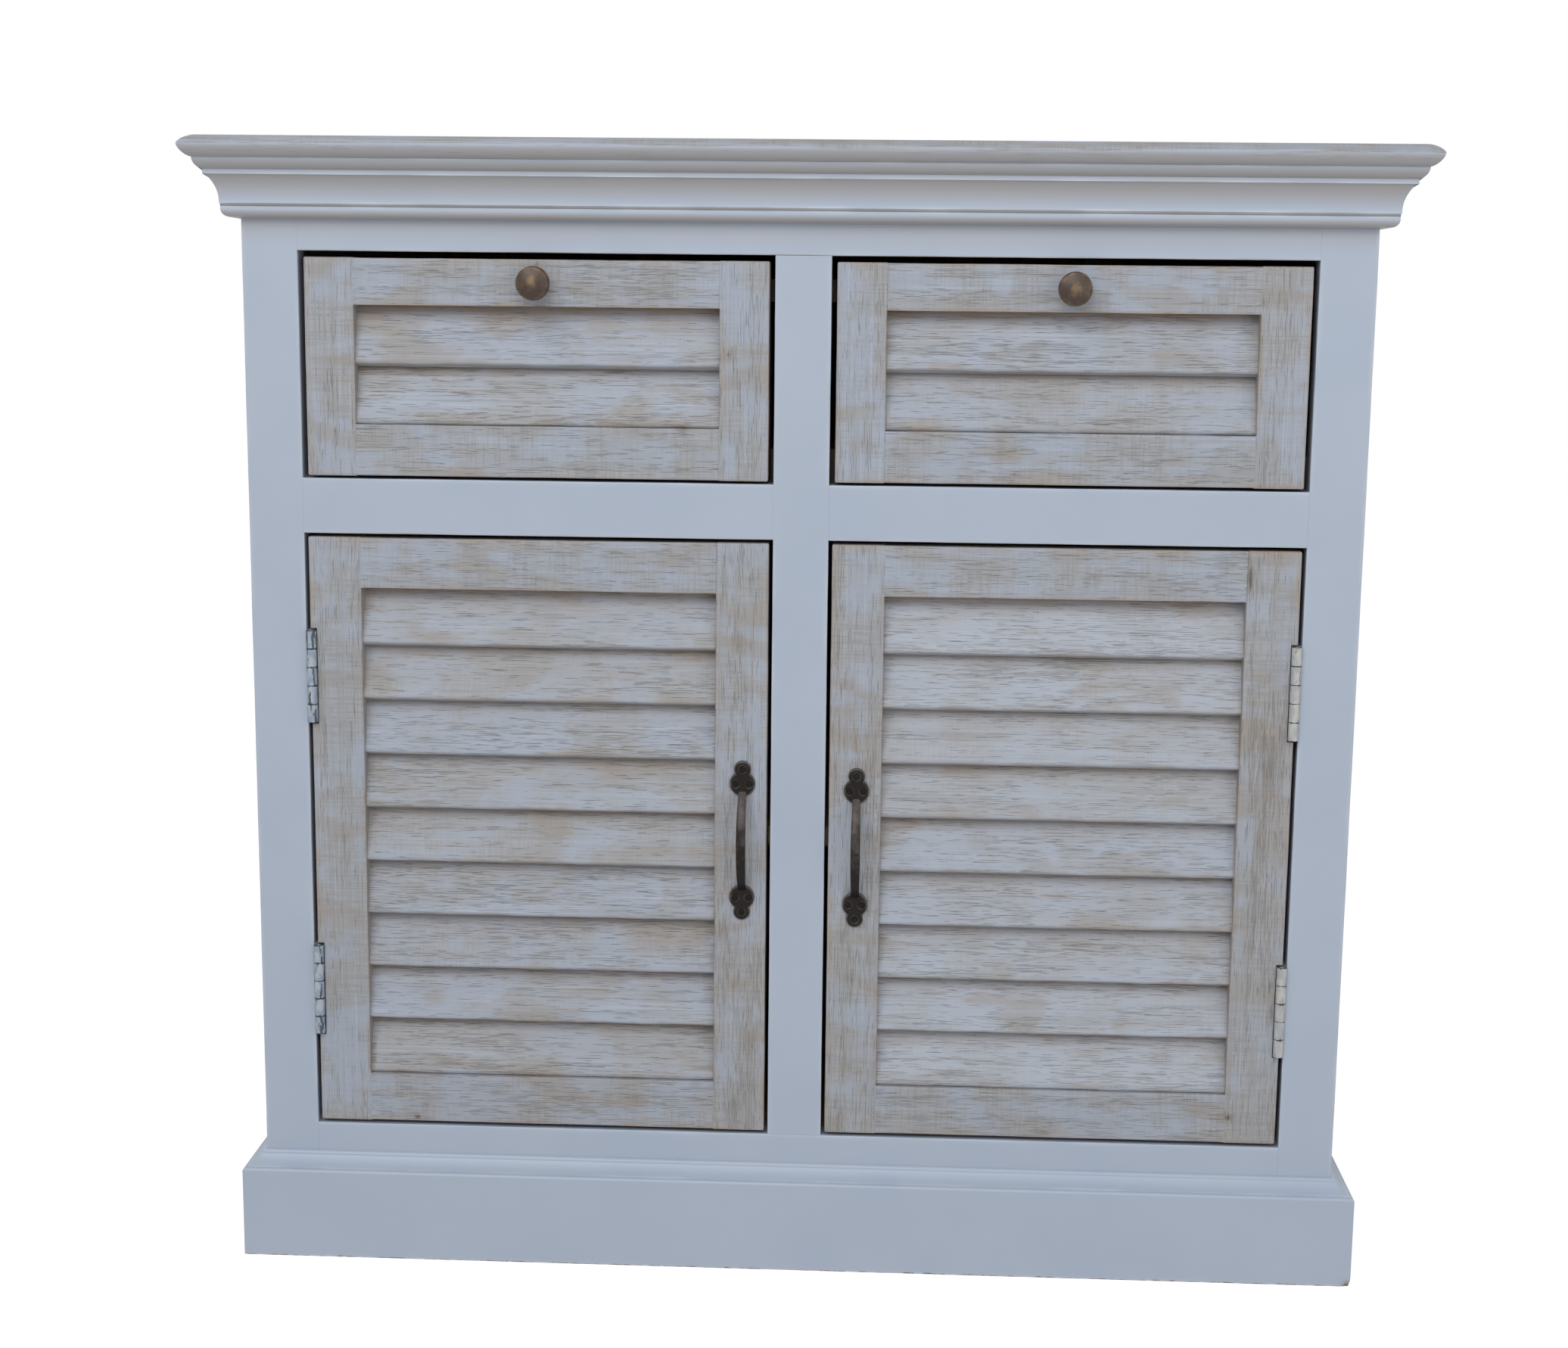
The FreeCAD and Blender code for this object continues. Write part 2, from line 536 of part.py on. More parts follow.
def hinge_flap(label, frame, side, wood, outwards, first, count):
    """One flap of a butt hinge with its knuckles, drilled for its screws, and the screws.

    wood is the place of the wood that the flap lies on, measured inwards from the pin, and
    outwards is 1 where that wood is on the outer side of the flap and -1 otherwise.
    """
    across = scaled(-side)
    face = f"{wood} + {outwards} * Sizes.flap_thickness"
    width = (across(wood), across(face))
    rise = (f"{first} * Layout.knuckle_pitch + Sizes.knuckle_gap / 2",
            f"{first + 1} * Layout.knuckle_pitch - Sizes.knuckle_gap / 2")
    flap = Piece(f"{label}_blank", frame, node=False)
    flap.block(width, ("Layout.jamb", "Sizes.flap_width"), ("0", "Sizes.hinge_length"))
    tab = flap.block(width, ("0", "Layout.jamb"), rise)
    knuckle = flap.cylinders("XY_Plane", rise[0], [("0", "0")], "Sizes.barrel_radius",
                             f"{rise[1]} - ({rise[0]})")
    flap.repeat([tab, knuckle], "N_Axis", "2 * Layout.knuckle_pitch", count)
    flap.cylinders("XY_Plane", "Sizes.hinge_length", [("0", "0")],
                   "Sizes.pin_radius + Sizes.pin_fit", "Sizes.hinge_length", kind="Pocket")
    centres = [("Sizes.hinge_screw_setback",
                f"Sizes.hinge_length / 2 + {step} * Sizes.hinge_screw_pitch")
               for step in (-1, 0, 1)]
    fixing = screws(f"{label}_screws", frame, "YZ_Plane", across(face), centres,
                    reverse=side * outwards < 0)
    drilled = doc.addObject("Part::Cut", label)
    drilled.Base = flap.body
    drilled.Tool = fixing.body
    return drilled, fixing


def hinge(name, side, place):
    """A butt hinge: both flaps with their screws, and the pin."""
    frame = (f"{side} * (Layout.opening_outer - Layout.jamb)",
             "Layout.face_y - Sizes.barrel_proud", f"Layout.door_z + Layout.{place}_hinge")
    label = f"{name}_{place}_hinge"
    fixed = hinge_flap(f"{label}_fixed_flap", frame, side, "-Layout.jamb", 1, 0, 3)
    swinging = hinge_flap(f"{label}_swinging_flap", frame, side,
                          "-(Layout.jamb - Sizes.door_side_gap)", -1, 1, 2)
    pin = Piece(f"{label}_pin", frame, node=False)
    pin.cylinders("XY_Plane", "0", [("0", "0")], "Sizes.pin_radius", "Sizes.hinge_length")
    return fixed, swinging, pin


def handle(name, side):
    """A bowed pull handle between two eyed plates; its screws are returned."""
    setback = f"Sizes.door_side_gap + Sizes.{name}_handle_setback"
    frame = (f"{side} * (Layout.opening_inner + {setback})", "Layout.face_y",
             f"Layout.door_z + Sizes.{name}_handle_height")
    pull = blank(f"{name}_door_handle", frame)
    sketch = pull.sketch("XY_Plane")
    sketch.setExpression("AttachmentOffset.Base.y", "Layout.bar_arc - Sizes.bar_bow")
    circles(sketch, [("0", "-Layout.bar_arc")], "Sizes.bar_radius")
    pull.revolve(sketch, "H_Axis", 180)
    pull.block(("-2 * Sizes.bar_radius", "2 * Sizes.bar_radius"), ("0", "Layout.bar_arc"),
               ("-2 * Layout.bar_arc", "2 * Layout.bar_arc"), kind="Pocket")
    eye = "Sizes.eye_spacing / 2"
    lobe = f"({eye} + Sizes.lobe_offset)"
    for centre, radius in ((eye, "Sizes.eye_radius"), (lobe, "Sizes.lobe_radius")):
        pull.cylinders("XZ_Plane", "0", [("0", f"-{centre}"), ("0", centre)], radius,
                       "Sizes.plate_thickness")
    centres = [("0", f"{end} * {lobe}") for end in (-1, 1)]
    centres += [(f"{edge} * Sizes.handle_screw_offset", f"{end} * {eye}")
                for end in (-1, 1) for edge in (-1, 1)]
    fixing = screws(f"{name}_handle_screws", frame, "XZ_Plane", "Sizes.plate_thickness",
                    centres, reverse=True)
    house(f"{name}_door_handle", pull, [fixing])
    return fixing


def knob(name, side):
    """A turned mushroom knob with its bolt."""
    frame = (f"{side} * Layout.opening_centre", "Layout.face_y",
             "Layout.drawer_z + Layout.drawer_height - Sizes.drawer_top_rail / 2")
    piece = Piece(f"{name}_drawer_knob", frame)
    sketch = piece.sketch("XY_Plane")
    outline(sketch, [
        ("0", "Sizes.knob_bolt_length"), ("Sizes.knob_bolt_radius", "Sizes.knob_bolt_length"),
        ("Sizes.knob_bolt_radius", "0"), ("Sizes.knob_foot_radius", "0"),
        ("Sizes.knob_foot_radius", "-Sizes.knob_foot_thickness"),
        ("Sizes.knob_neck_radius", "-Sizes.knob_foot_thickness"),
        ("Sizes.knob_neck_radius", "-Layout.knob_flare_y", "Sizes.knob_flare_radius", -1),
        ("Sizes.knob_rim_radius", "-Layout.knob_rim_y"),
        ("Sizes.knob_rim_radius", "-Layout.knob_wall_y"),
        ("Sizes.knob_dome_radius", "-Layout.knob_wall_y"),
        ("Sizes.knob_dome_radius", "-Layout.knob_dome_y", "Layout.dome_arc", 1),
        ("0", "-(Layout.knob_dome_y + Sizes.knob_dome_height)")])
    piece.revolve(sketch, "V_Axis", 360)
    return piece


def catches():
    """A magnetic catch behind each door, on the floor panel."""
    piece = Piece("magnet_catches")
    bottom = "Sizes.door_opening_bottom"
    for _, side in SIDES:
        across = scaled(side)
        piece.block((across("Layout.catch_x"), across("Layout.catch_x + Sizes.catch_length")),
                    ("Layout.catch_y", "Layout.catch_y + Sizes.catch_depth"),
                    (bottom, f"{bottom} + Sizes.catch_height"))


# moving assemblies

def door(name, side, flaps):
    """A louvred door with its handle, hinge flaps, screws and catch strike."""
    frame = (f"{side} * Layout.door_edge", "Layout.face_y", "Layout.door_z")
    across = scaled(-side)
    width, height, thickness = "Layout.door_width", "Layout.door_height", "Sizes.leaf_thickness"
    stile, rail = "Sizes.door_stile_width", "Sizes.door_rail_height"
    ends = (stile, f"{width} - {stile}")
    slats = louvres(f"{name}_door_louvres", frame, across, ends, (rail, f"{height} - {rail}"),
                    "Sizes.door_louvre_count")
    rails = []
    for place, rise in (("bottom", ("0", rail)), ("top", (f"{height} - {rail}", height))):
        rails.append(Piece(f"{name}_door_rail_{place}", frame))
        add_rail(rails[-1], across, ends, rise, thickness, "Sizes.door_tenon_length")
    handle_screws = handle(name, side)
    hinge_screws = [fixing for _, fixing in flaps]
    strike = Piece(f"{name}_strike", node=False)
    lift = "Layout.door_z + Sizes.strike_lift"
    strike.block([f"{side} * (Layout.catch_x + {reach})"
                  for reach in ("Sizes.strike_inset", "Sizes.catch_length - Sizes.strike_inset")],
                 (thickness, f"{thickness} + Sizes.strike_thickness"),
                 (lift, f"{lift} + Sizes.strike_height"))
    hinge_stile = blank(f"{name}_door_stile_hinge", frame)
    hinge_stile.block((across("0"), across(stile)), ("0", thickness), ("0", height))
    for low in ("Layout.lower_hinge", "Layout.upper_hinge"):
        hinge_stile.block((across("0"), across("Sizes.notch_width")), ("0", "Sizes.notch_depth"),
                          (f"{low} - Sizes.notch_end_gap",
                           f"{low} + Sizes.hinge_length + Sizes.notch_end_gap"), kind="Pocket")
    lock_stile = blank(f"{name}_door_stile_lock", frame)
    lock_stile.block((across(ends[1]), across(width)), ("0", thickness), ("0", height))
    house(f"{name}_door_stile_hinge", hinge_stile, [slats, *rails, *hinge_screws])
    house(f"{name}_door_stile_lock", lock_stile, [slats, *rails, handle_screws])
    label = f"{name}_door_hinge_leaves"
    nodes[label] = compound(label, [flap for flap, _ in flaps])
    label = f"{name}_door_fixings"
    nodes[label] = compound(label, [*hinge_screws, handle_screws, strike])


def drawer(name, side):
    """A drawer box behind a louvred front with a knob."""
    frame = (f"{side} * Layout.opening_centre", "Layout.face_y", "Layout.drawer_z")
    half, height, thickness = "Layout.drawer_half", "Layout.drawer_height", "Sizes.leaf_thickness"
    label = f"{name}_drawer"
    edge = f"({half} - Sizes.drawer_stile_width)"
    ends = (f"-{edge}", edge)
    rises = (("0", "Sizes.drawer_bottom_rail"), (f"{height} - Sizes.drawer_top_rail", height))
    slats = louvres(f"{label}_louvres", frame, scaled(1), ends, (rises[0][1], rises[1][0]),
                    "Sizes.drawer_louvre_count")
    rails = blank(f"{label}_front_rails", frame)
    for rise in rises:
        add_rail(rails, scaled(1), ends, rise, thickness, "Sizes.tenon_length")
    stiles = blank(f"{label}_front_stiles", frame)
    for _, hand in SIDES:
        across = scaled(hand)
        stiles.block((across(edge), across(half)), ("0", thickness), ("0", height))
    house(f"{label}_front_stiles", stiles, [slats, rails])
    house(f"{label}_front_rails", rails, [knob(name, side)])

    outer, inner = "Layout.box_half", "Layout.box_inner"
    wall, end, top = "Sizes.box_wall", "Layout.box_end", "Sizes.box_height"
    lift = "Sizes.box_bottom_lift"
    bottom_top = f"{lift} + Sizes.box_bottom_thickness"
    bottom = Piece(f"{label}_box_bottom", frame)
    bottom.block((f"-({inner} + Sizes.box_groove)", f"{inner} + Sizes.box_groove"),
                 (f"{thickness} + {wall} - Sizes.box_groove", end), (lift, bottom_top))
    walls = blank(f"{label}_box_sides", frame)
    for _, hand in SIDES:
        across = scaled(hand)
        walls.block((across(inner), across(outer)), (thickness, end), ("0", top))
    front = blank(f"{label}_box_front", frame)
    front.block((f"-{inner}", inner), (thickness, f"{thickness} + {wall}"), ("0", top))
    back = Piece(f"{label}_box_back", frame)
    back.block((f"-{inner}", inner), (f"{end} - {wall}", end), (bottom_top, top))
    house(f"{label}_box_sides", walls, [bottom])
    house(f"{label}_box_front", front, [bottom])


hinges = {name: [hinge(name, side, place) for place in ("lower", "upper")]
          for name, side in SIDES}
pairs = hinges["left"] + hinges["right"]
for label, members in (("hinge_frame_leaves", [fixed[0] for fixed, _, _ in pairs]),
                       ("hinge_frame_screws", [fixed[1] for fixed, _, _ in pairs]),
                       ("hinge_pins", [pin for _, _, pin in pairs])):
    nodes[label] = compound(label, members)
face_frame({name: compound(f"{name}_frame_screws", [fixed[1] for fixed, _, _ in hinges[name]])
            for name, _ in SIDES})
carcass()
drawer_supports()
moulding("crown", CROWN, "Sizes.crown_projection")
moulding("plinth", PLINTH, "Sizes.plinth_projection")
top_board()
catches()
for name, side in SIDES:
    door(name, side, [swinging for _, swinging, _ in hinges[name]])
    drawer(name, side)
doc.recompute()

failed = [item.Label for item in doc.Objects
          if "Invalid" in item.State or "Error" in item.State]
if failed:
    raise RuntimeError(f"failed features: {failed}")
os.makedirs("parts", exist_ok=True)
for label, node in nodes.items():
    if node.Shape.isNull() or not node.Shape.isValid():
        raise RuntimeError(f"bad shape: {label}")
    node.Shape.exportStep(f"parts/{label}.step")
print(f"{len(nodes)} nodes exported")
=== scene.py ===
"""Finishes, light and camera for a louvred door cabinet, dressed around its construction.

Every length is in metres in the construction's frame: X to the right, Y to the back, Z up.
"""

import json
import logging
import math
from dataclasses import dataclass, field
from enum import Enum
from typing import Iterable, Sequence

import bpy
import numpy as np
from mathutils import Matrix, Vector


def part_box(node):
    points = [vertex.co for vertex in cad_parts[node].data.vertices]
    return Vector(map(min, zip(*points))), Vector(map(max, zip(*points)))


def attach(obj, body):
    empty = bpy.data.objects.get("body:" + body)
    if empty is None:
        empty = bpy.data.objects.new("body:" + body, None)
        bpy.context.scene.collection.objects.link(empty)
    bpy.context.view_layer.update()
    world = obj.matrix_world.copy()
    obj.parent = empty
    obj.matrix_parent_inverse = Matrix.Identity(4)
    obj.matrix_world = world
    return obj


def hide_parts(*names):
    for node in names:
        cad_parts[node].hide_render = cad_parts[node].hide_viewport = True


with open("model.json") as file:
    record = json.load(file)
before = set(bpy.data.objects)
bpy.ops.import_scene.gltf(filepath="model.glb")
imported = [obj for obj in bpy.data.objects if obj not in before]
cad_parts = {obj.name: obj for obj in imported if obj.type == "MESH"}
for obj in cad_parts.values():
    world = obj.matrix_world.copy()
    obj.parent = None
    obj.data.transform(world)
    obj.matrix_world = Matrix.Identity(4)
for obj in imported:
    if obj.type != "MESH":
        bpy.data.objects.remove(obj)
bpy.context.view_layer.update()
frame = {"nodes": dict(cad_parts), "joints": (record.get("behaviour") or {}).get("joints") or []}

LOG = logging.getLogger("cabinet")
Pair = tuple[float, float]
Size = tuple[float, float, float]
Spans = tuple[Pair, Pair, Pair]  # a low and a high number for each of X, Y and Z
Box = tuple[np.ndarray, np.ndarray]  # the lowest and the highest corner
Socket = bpy.types.NodeSocket
MM = 0.001
TINY = 0.001 * MM
FRONT = 1  # the index of Y, along which a leaf's thickness is measured
WIDE = 3 * MM  # from which width a rounding is cut up more finely
GRAIN_STEP = 3.7  # how far apart two boards' grains are read, in metres


class Axis(Enum):
    """The direction that a board's fibres run in."""

    X = 0
    Z = 2


class Side(Enum):
    """Which half of the cabinet a leaf is in, and the sign of X there."""

    LEFT = -1
    RIGHT = 1

    @property
    def word(self) -> str:
        """The word that starts the names of this side's pieces."""
        return self.name.lower()


# surfaces

@dataclass
class Surface:
    """Points, faces and per-point values of one piece.

    Args:
        points: an N x 3 array of places.
        quads: four point numbers for each face, seen anticlockwise from outside.
        triangles: three point numbers for each face that closes a pole.
        values: named arrays with one number or one vector for each point.
    """

    points: np.ndarray
    quads: np.ndarray
    triangles: np.ndarray = field(default_factory=lambda: np.zeros((0, 3), int))
    values: dict[str, np.ndarray] = field(default_factory=dict)

    def joined(self, other: "Surface") -> "Surface":
        """This surface and another one as two shells of one piece.

        Args:
            other: a surface with the same named values.

        Returns:
            Both surfaces, with the other one's point numbers counted on from this one's.
        """
        count = len(self.points)
        values = {key: np.concatenate((self.values[key], other.values[key]))
                  for key in self.values}
        return Surface(np.concatenate((self.points, other.points)),
                       np.concatenate((self.quads, other.quads + count)),
                       np.concatenate((self.triangles, other.triangles + count)), values)


def ripple(position: np.ndarray, longest: float, seed: int) -> np.ndarray:
    """A smooth uneven wave between about -1 and 1.

    It sums six sines, each 1.7 times shorter and 0.62 times weaker than the one before,
    with phases drawn from the seed.

    Args:
        position: where the wave is read.
        longest: the wavelength of the first sine.
        seed: what the phases are drawn from.

    Returns:
        The wave's height at each position.
    """
    orders = np.arange(6)
    phases = np.random.default_rng(seed).uniform(0, 2 * np.pi, len(orders))
    turns = np.multiply.outer(position, 2 * np.pi * 1.7 ** orders / longest) + phases
    return (np.sin(turns) * 0.62 ** orders).sum(-1) / 1.6


@dataclass(frozen=True)
class Fade:
    """A value that is strongest in one place and fades away from it.

    Args:
        strength: the value there.
        reach: how far away 37 percent of it is left.
    """

    strength: float
    reach: float

    def at(self, distance: np.ndarray, wave: np.ndarray | float = 1.0) -> np.ndarray:
        """The value at a distance, falling off evenly; a wave stretches the reach."""
        return self.strength * np.exp(-distance / (self.reach * wave))

    def bell(self, distance: np.ndarray) -> np.ndarray:
        """The value at a distance, falling off as a bell curve."""
        return self.strength * np.exp(-(distance / self.reach) ** 2)


def divide(low: float, high: float, step: float, eased: Pair,
           cuts: Sequence[float] = ()) -> np.ndarray:
    """Places along one edge of a board, closer together on its rounded ends.

    On an end eased by r the places stand at r times the tangents of equal angles from 0 to
    45 degrees from the flat, so that the rounding turns evenly: three of them, or six on a
    wide rounding.

    Args:
        low: where the edge starts.
        high: where it ends.
        step: the largest distance between places on the flat.
        eased: how wide the rounding is at the low and at the high end.
        cuts: further places that the edge has to have.

    Returns:
        The places in rising order.
    """
    bend = [np.tan(np.linspace(0, np.pi / 4, 7 if ease > WIDE else 4)) for ease in eased]
    flat = np.linspace(low + eased[0], high - eased[1],
                       max(3, math.ceil((high - low) / step)))
    places = np.concatenate((low + eased[0] * (1 - bend[0]), flat,
                             high - eased[1] * (1 - bend[1]), np.asarray(cuts, float)))
    return np.unique(np.round(places, 7))


def box_faces(ticks: Sequence[np.ndarray]) -> tuple[np.ndarray, np.ndarray]:
    """The six faces of a box as grids that share the points of their edges.

    Args:
        ticks: the places of the grid lines along X, Y and Z.

    Returns:
        The points, and the quads with their outer side anticlockwise.
    """
    shape = tuple(len(tick) for tick in ticks)
    outer = np.zeros(shape, bool)
    for axis in range(3):
        for end in (0, -1):
            outer[(slice(None),) * axis + (end,)] = True
    numbers = np.full(shape, -1)
    numbers[outer] = np.arange(outer.sum())
    points = np.stack([tick[place] for tick, place in zip(ticks, np.nonzero(outer))], 1)
    quads = []
    for axis in range(3):
        for end in (0, -1):
            grid = np.take(numbers, end, axis=axis)
            ring = np.stack([part.ravel() for part in (grid[:-1, :-1], grid[1:, :-1],
                                                       grid[1:, 1:], grid[:-1, 1:])], 1)
            quads.append(ring if (end == -1) != (axis == 1) else ring[:, ::-1])
    return points, np.concatenate(quads)


def skin(rings: np.ndarray) -> Surface:
    """A closed skin over rings of points, shut by a pole at each end.

    Point (i, j) of the grid is joined to (i + 1, j) and (i, j + 1), with j wrapping round,
    and each end ring is joined to its own middle.

    Args:
        rings: an array of rings x points x 3, whose points run anticlockwise when seen
            against the direction that the rings follow each other in.

    Returns:
        The surface, with its faces outwards.
    """
    count, around = rings.shape[:2]
    numbers = np.arange(count * around).reshape(count, around)
    onward = np.roll(numbers, -1, axis=1)
    quads = np.stack([part.ravel() for part in (numbers[:-1], onward[:-1],
                                                onward[1:], numbers[1:])], 1)
    first, last = count * around, count * around + 1
    triangles = np.concatenate((
        np.stack((onward[0], numbers[0], np.full(around, first)), 1),
        np.stack((numbers[-1], onward[-1], np.full(around, last)), 1)))
    points = np.concatenate((rings.reshape(-1, 3), rings[0].mean(0)[None],
                             rings[-1].mean(0)[None]))
    return Surface(points, quads, triangles)


def circle(count: int) -> np.ndarray:
    """The cosines and the sines of equal angles all round."""
    angles = np.linspace(0, 2 * np.pi, count, endpoint=False)
    return np.array((np.cos(angles), np.sin(angles)))


def points_at(*places: np.ndarray) -> np.ndarray:
    """Points from their X, Y and Z, which are first stretched to one shape."""
    return np.stack(np.broadcast_arrays(*places), -1)


def turned(profile: np.ndarray, middle: Sequence[float], upright: bool,
           around: int = 72) -> np.ndarray:
    """Rings of a turned shape, each a circle of its profile's radius.

    A point stands at the radius times the cosine and sine of equal angles: in the plane of X
    and Y for an upright shape, and of X and Z for one that points to the front.

    Args:
        profile: rows of how far along the axis, and the radius there.
        middle: where the axis starts.
        upright: whether the axis runs up; otherwise it runs to the front.
        around: how many points go round.

    Returns:
        An array of rings x points x 3.
    """
    along = profile[:, :1]
    right, far = np.multiply.outer(circle(around), profile[:, 1]).transpose(0, 2, 1)
    rings = points_at(right, far, along) if upright else points_at(right, -along, far)
    return rings + middle


@dataclass(frozen=True)
class Notch:
    """The housing cut into a stile's front corner around a hinge barrel.

    Args:
        side: -1 on the board's low X edge and 1 on its high one.
        width: how far it reaches in from that edge.
        depth: how far it reaches back from the front.
        span: its lower and upper end.
    """

    side: int
    width: float
    depth: float
    span: Pair


@dataclass(frozen=True)
class Butt:
    """A stretch of a stile's edge that a rail's end is pushed against.

    Args:
        side: -1 on the stile's low X edge and 1 on its high one.
        span: its lower and upper end.
        gape: how far the seam opens at each of them.
    """

    side: int
    span: Pair
    gape: Pair = (0.0, 0.0)


@dataclass(frozen=True)
class Mark:
    """A soft-edged spot of stain, soiling or missing wash on the front of a board.

    Args:
        x: its middle across the cabinet.
        z: its middle above the floor.
        wide: its reach along X.
        tall: its reach along Z.
        strength: how dark it is, from 0 to 1.
    """

    x: float
    z: float
    wide: float
    tall: float
    strength: float

    def at(self, points: np.ndarray) -> np.ndarray:
        """The mark's strength at points, falling off as a bell curve."""
        away = (points[:, (0, 2)] - (self.x, self.z)) / (self.wide, self.tall)
        return self.strength * np.exp(-(away ** 2).sum(1))


@dataclass
class Board:
    """A sawn and hand-eased board.

    Args:
        spans: where it starts and ends along X, Y and Z.
        grain: the direction of its fibres.
        seed: sets its own grain and wear.
        eases: the width of the rounding at its low and high faces along X, Y and Z.
        bow: how far the face that it is part of wanders from flat.
        bow_seed: which face that is; boards of one face share it, so they stay flush.
        wander: how far its edges wander from straight.
        notches: housings in its front corners.
        butts: where rails meet its edges.
        step: the spacing of its points.
        sliver: how thin the side of a notch is pressed, and how close its cuts are.
        waves: the longest wave of its edges and of its face.
    """

    spans: Spans
    grain: Axis
    seed: int
    eases: Spans
    bow: float = 0.25 * MM
    bow_seed: int = 0
    wander: float = 0.2 * MM
    notches: tuple[Notch, ...] = ()
    butts: tuple[Butt, ...] = ()
    step: float = 2.5 * MM
    sliver: float = 0.3 * MM
    waves: Pair = (0.16, 0.5)

    def __post_init__(self) -> None:
        """Reads the lowest and the highest corner off the spans."""
        self.low, self.high = np.array(self.spans, float).T

    def surface(self) -> Surface:
        """The board's skin.

        The edges of the rounded box wander by slow waves along the grain, and the face by
        waves that all boards of the face share.

        Returns:
            The surface, with two values: the places along, across and into the grain, and
            the arris, the distance from the nearest front edge that is open to wear.
        """
        grid, quads = self.lattice()
        points, shut = self.rounded(grid)
        low, high, along = self.low, self.high, self.grain.value
        across = 2 - along
        half, middle = (high - low)[across] / 2, (low + high)[across] / 2
        gaps = []
        for number, edge in enumerate((-1, 1), 1):
            free = np.ones(len(grid), bool) if across else ~shut[edge]
            side = edge * (points[:, across] - middle) / half
            wave = 1 + ripple(points[:, along], self.waves[0], self.seed * 7 + number)
            points[:, across] -= edge * self.wander * side.clip(0, 1) ** 4 * wave / 2 * free
            gaps.append(np.where(free, half * (1 - side), 1.0))
        arris = np.hypot(np.minimum(*gaps).clip(0), (grid[:, FRONT] - low[FRONT]).clip(0))
        swell = sum(ripple(points[:, axis], self.waves[1], self.bow_seed + number)
                    for number, axis in enumerate((0, 2)))
        points[:, FRONT] += self.bow * (1 + swell / 2) / 2
        grain = points[:, (along, across, FRONT)]
        for notch in self.notches:
            self.cut(grid, points, notch)
        grain[:, 0] += self.seed * GRAIN_STEP
        return Surface(points, quads, values={"grain": grain, "arris": arris})

    def lattice(self) -> tuple[np.ndarray, np.ndarray]:
        """The faces of the sharp box, with grid lines where butts and notches end.

        Returns:
            The points, and the quads.
        """
        cuts: list[list[float]] = [[], [], []]
        for part in self.butts + self.notches:
            low, high = part.span
            cuts[2] += [low - self.sliver, low, high, high + self.sliver]
        for notch in self.notches:
            inner = (self.high if notch.side > 0 else self.low)[0] - notch.side * notch.width
            cuts[0] += [inner, inner + notch.side * self.sliver]
            cuts[1] += [self.low[1] + notch.depth]
        depth_step = max(self.step, (self.high[1] - self.low[1]) / 6)
        return box_faces([divide(*span, step, ease, cut) for span, step, ease, cut in
                          zip(self.spans, (self.step, depth_step, self.step), self.eases,
                              cuts)])

    def rounded(self, grid: np.ndarray) -> tuple[np.ndarray, dict[int, np.ndarray]]:
        """The box with its edges rounded.

        Each point is held to the box less its rounding, and pushed out from there along an
        ellipse whose half-axes are the roundings of the two or three faces that it is near.
        Where a rail butts against an edge, the rounding is only as wide as the seam gapes.

        Args:
            grid: the points of the sharp box.

        Returns:
            The points, and for each edge which of them a rail covers.
        """
        lows, highs = (np.tile(ease, (len(grid), 1)) for ease in np.array(self.eases).T)
        shut = {-1: np.zeros(len(grid), bool), 1: np.zeros(len(grid), bool)}
        for butt in self.butts:
            low, high = butt.span
            taken = (grid[:, 2] > low - TINY) & (grid[:, 2] < high + TINY)
            share = ((grid[taken, 2] - low) / (high - low)).clip(0, 1)
            opening = butt.gape[0] * (1 - share) ** 3 + butt.gape[1] * share ** 3
            (lows if butt.side < 0 else highs)[taken, 0] = opening
            shut[butt.side] |= taken
        core = np.clip(grid, self.low + lows, self.high - highs)
        reach = np.maximum(np.where(grid < core, lows, highs), 1e-9)
        lean = (grid - core) / reach
        length = np.maximum(np.linalg.norm(lean, axis=1), 1e-9)
        return core + reach * lean * (np.abs(lean).max(1) / length)[:, None], shut

    def cut(self, grid: np.ndarray, points: np.ndarray, notch: Notch) -> None:
        """Sets the front corner back to a notch's floor, with the old side in its last sliver.

        Args:
            grid: the points of the sharp box, which say what the notch takes.
            points: the points that are moved.
            notch: the notch.
        """
        edge = (self.high if notch.side > 0 else self.low)[0]
        floor, half = self.low[1] + notch.depth, self.sliver / 2
        inside = ((notch.side * (edge - grid[:, 0]) < notch.width - half)
                  & (grid[:, 1] < floor - TINY)
                  & (grid[:, 2] > notch.span[0] - half) & (grid[:, 2] < notch.span[1] + half))
        points[inside, 1] = floor - self.sliver * (floor - grid[inside, 1]) / notch.depth


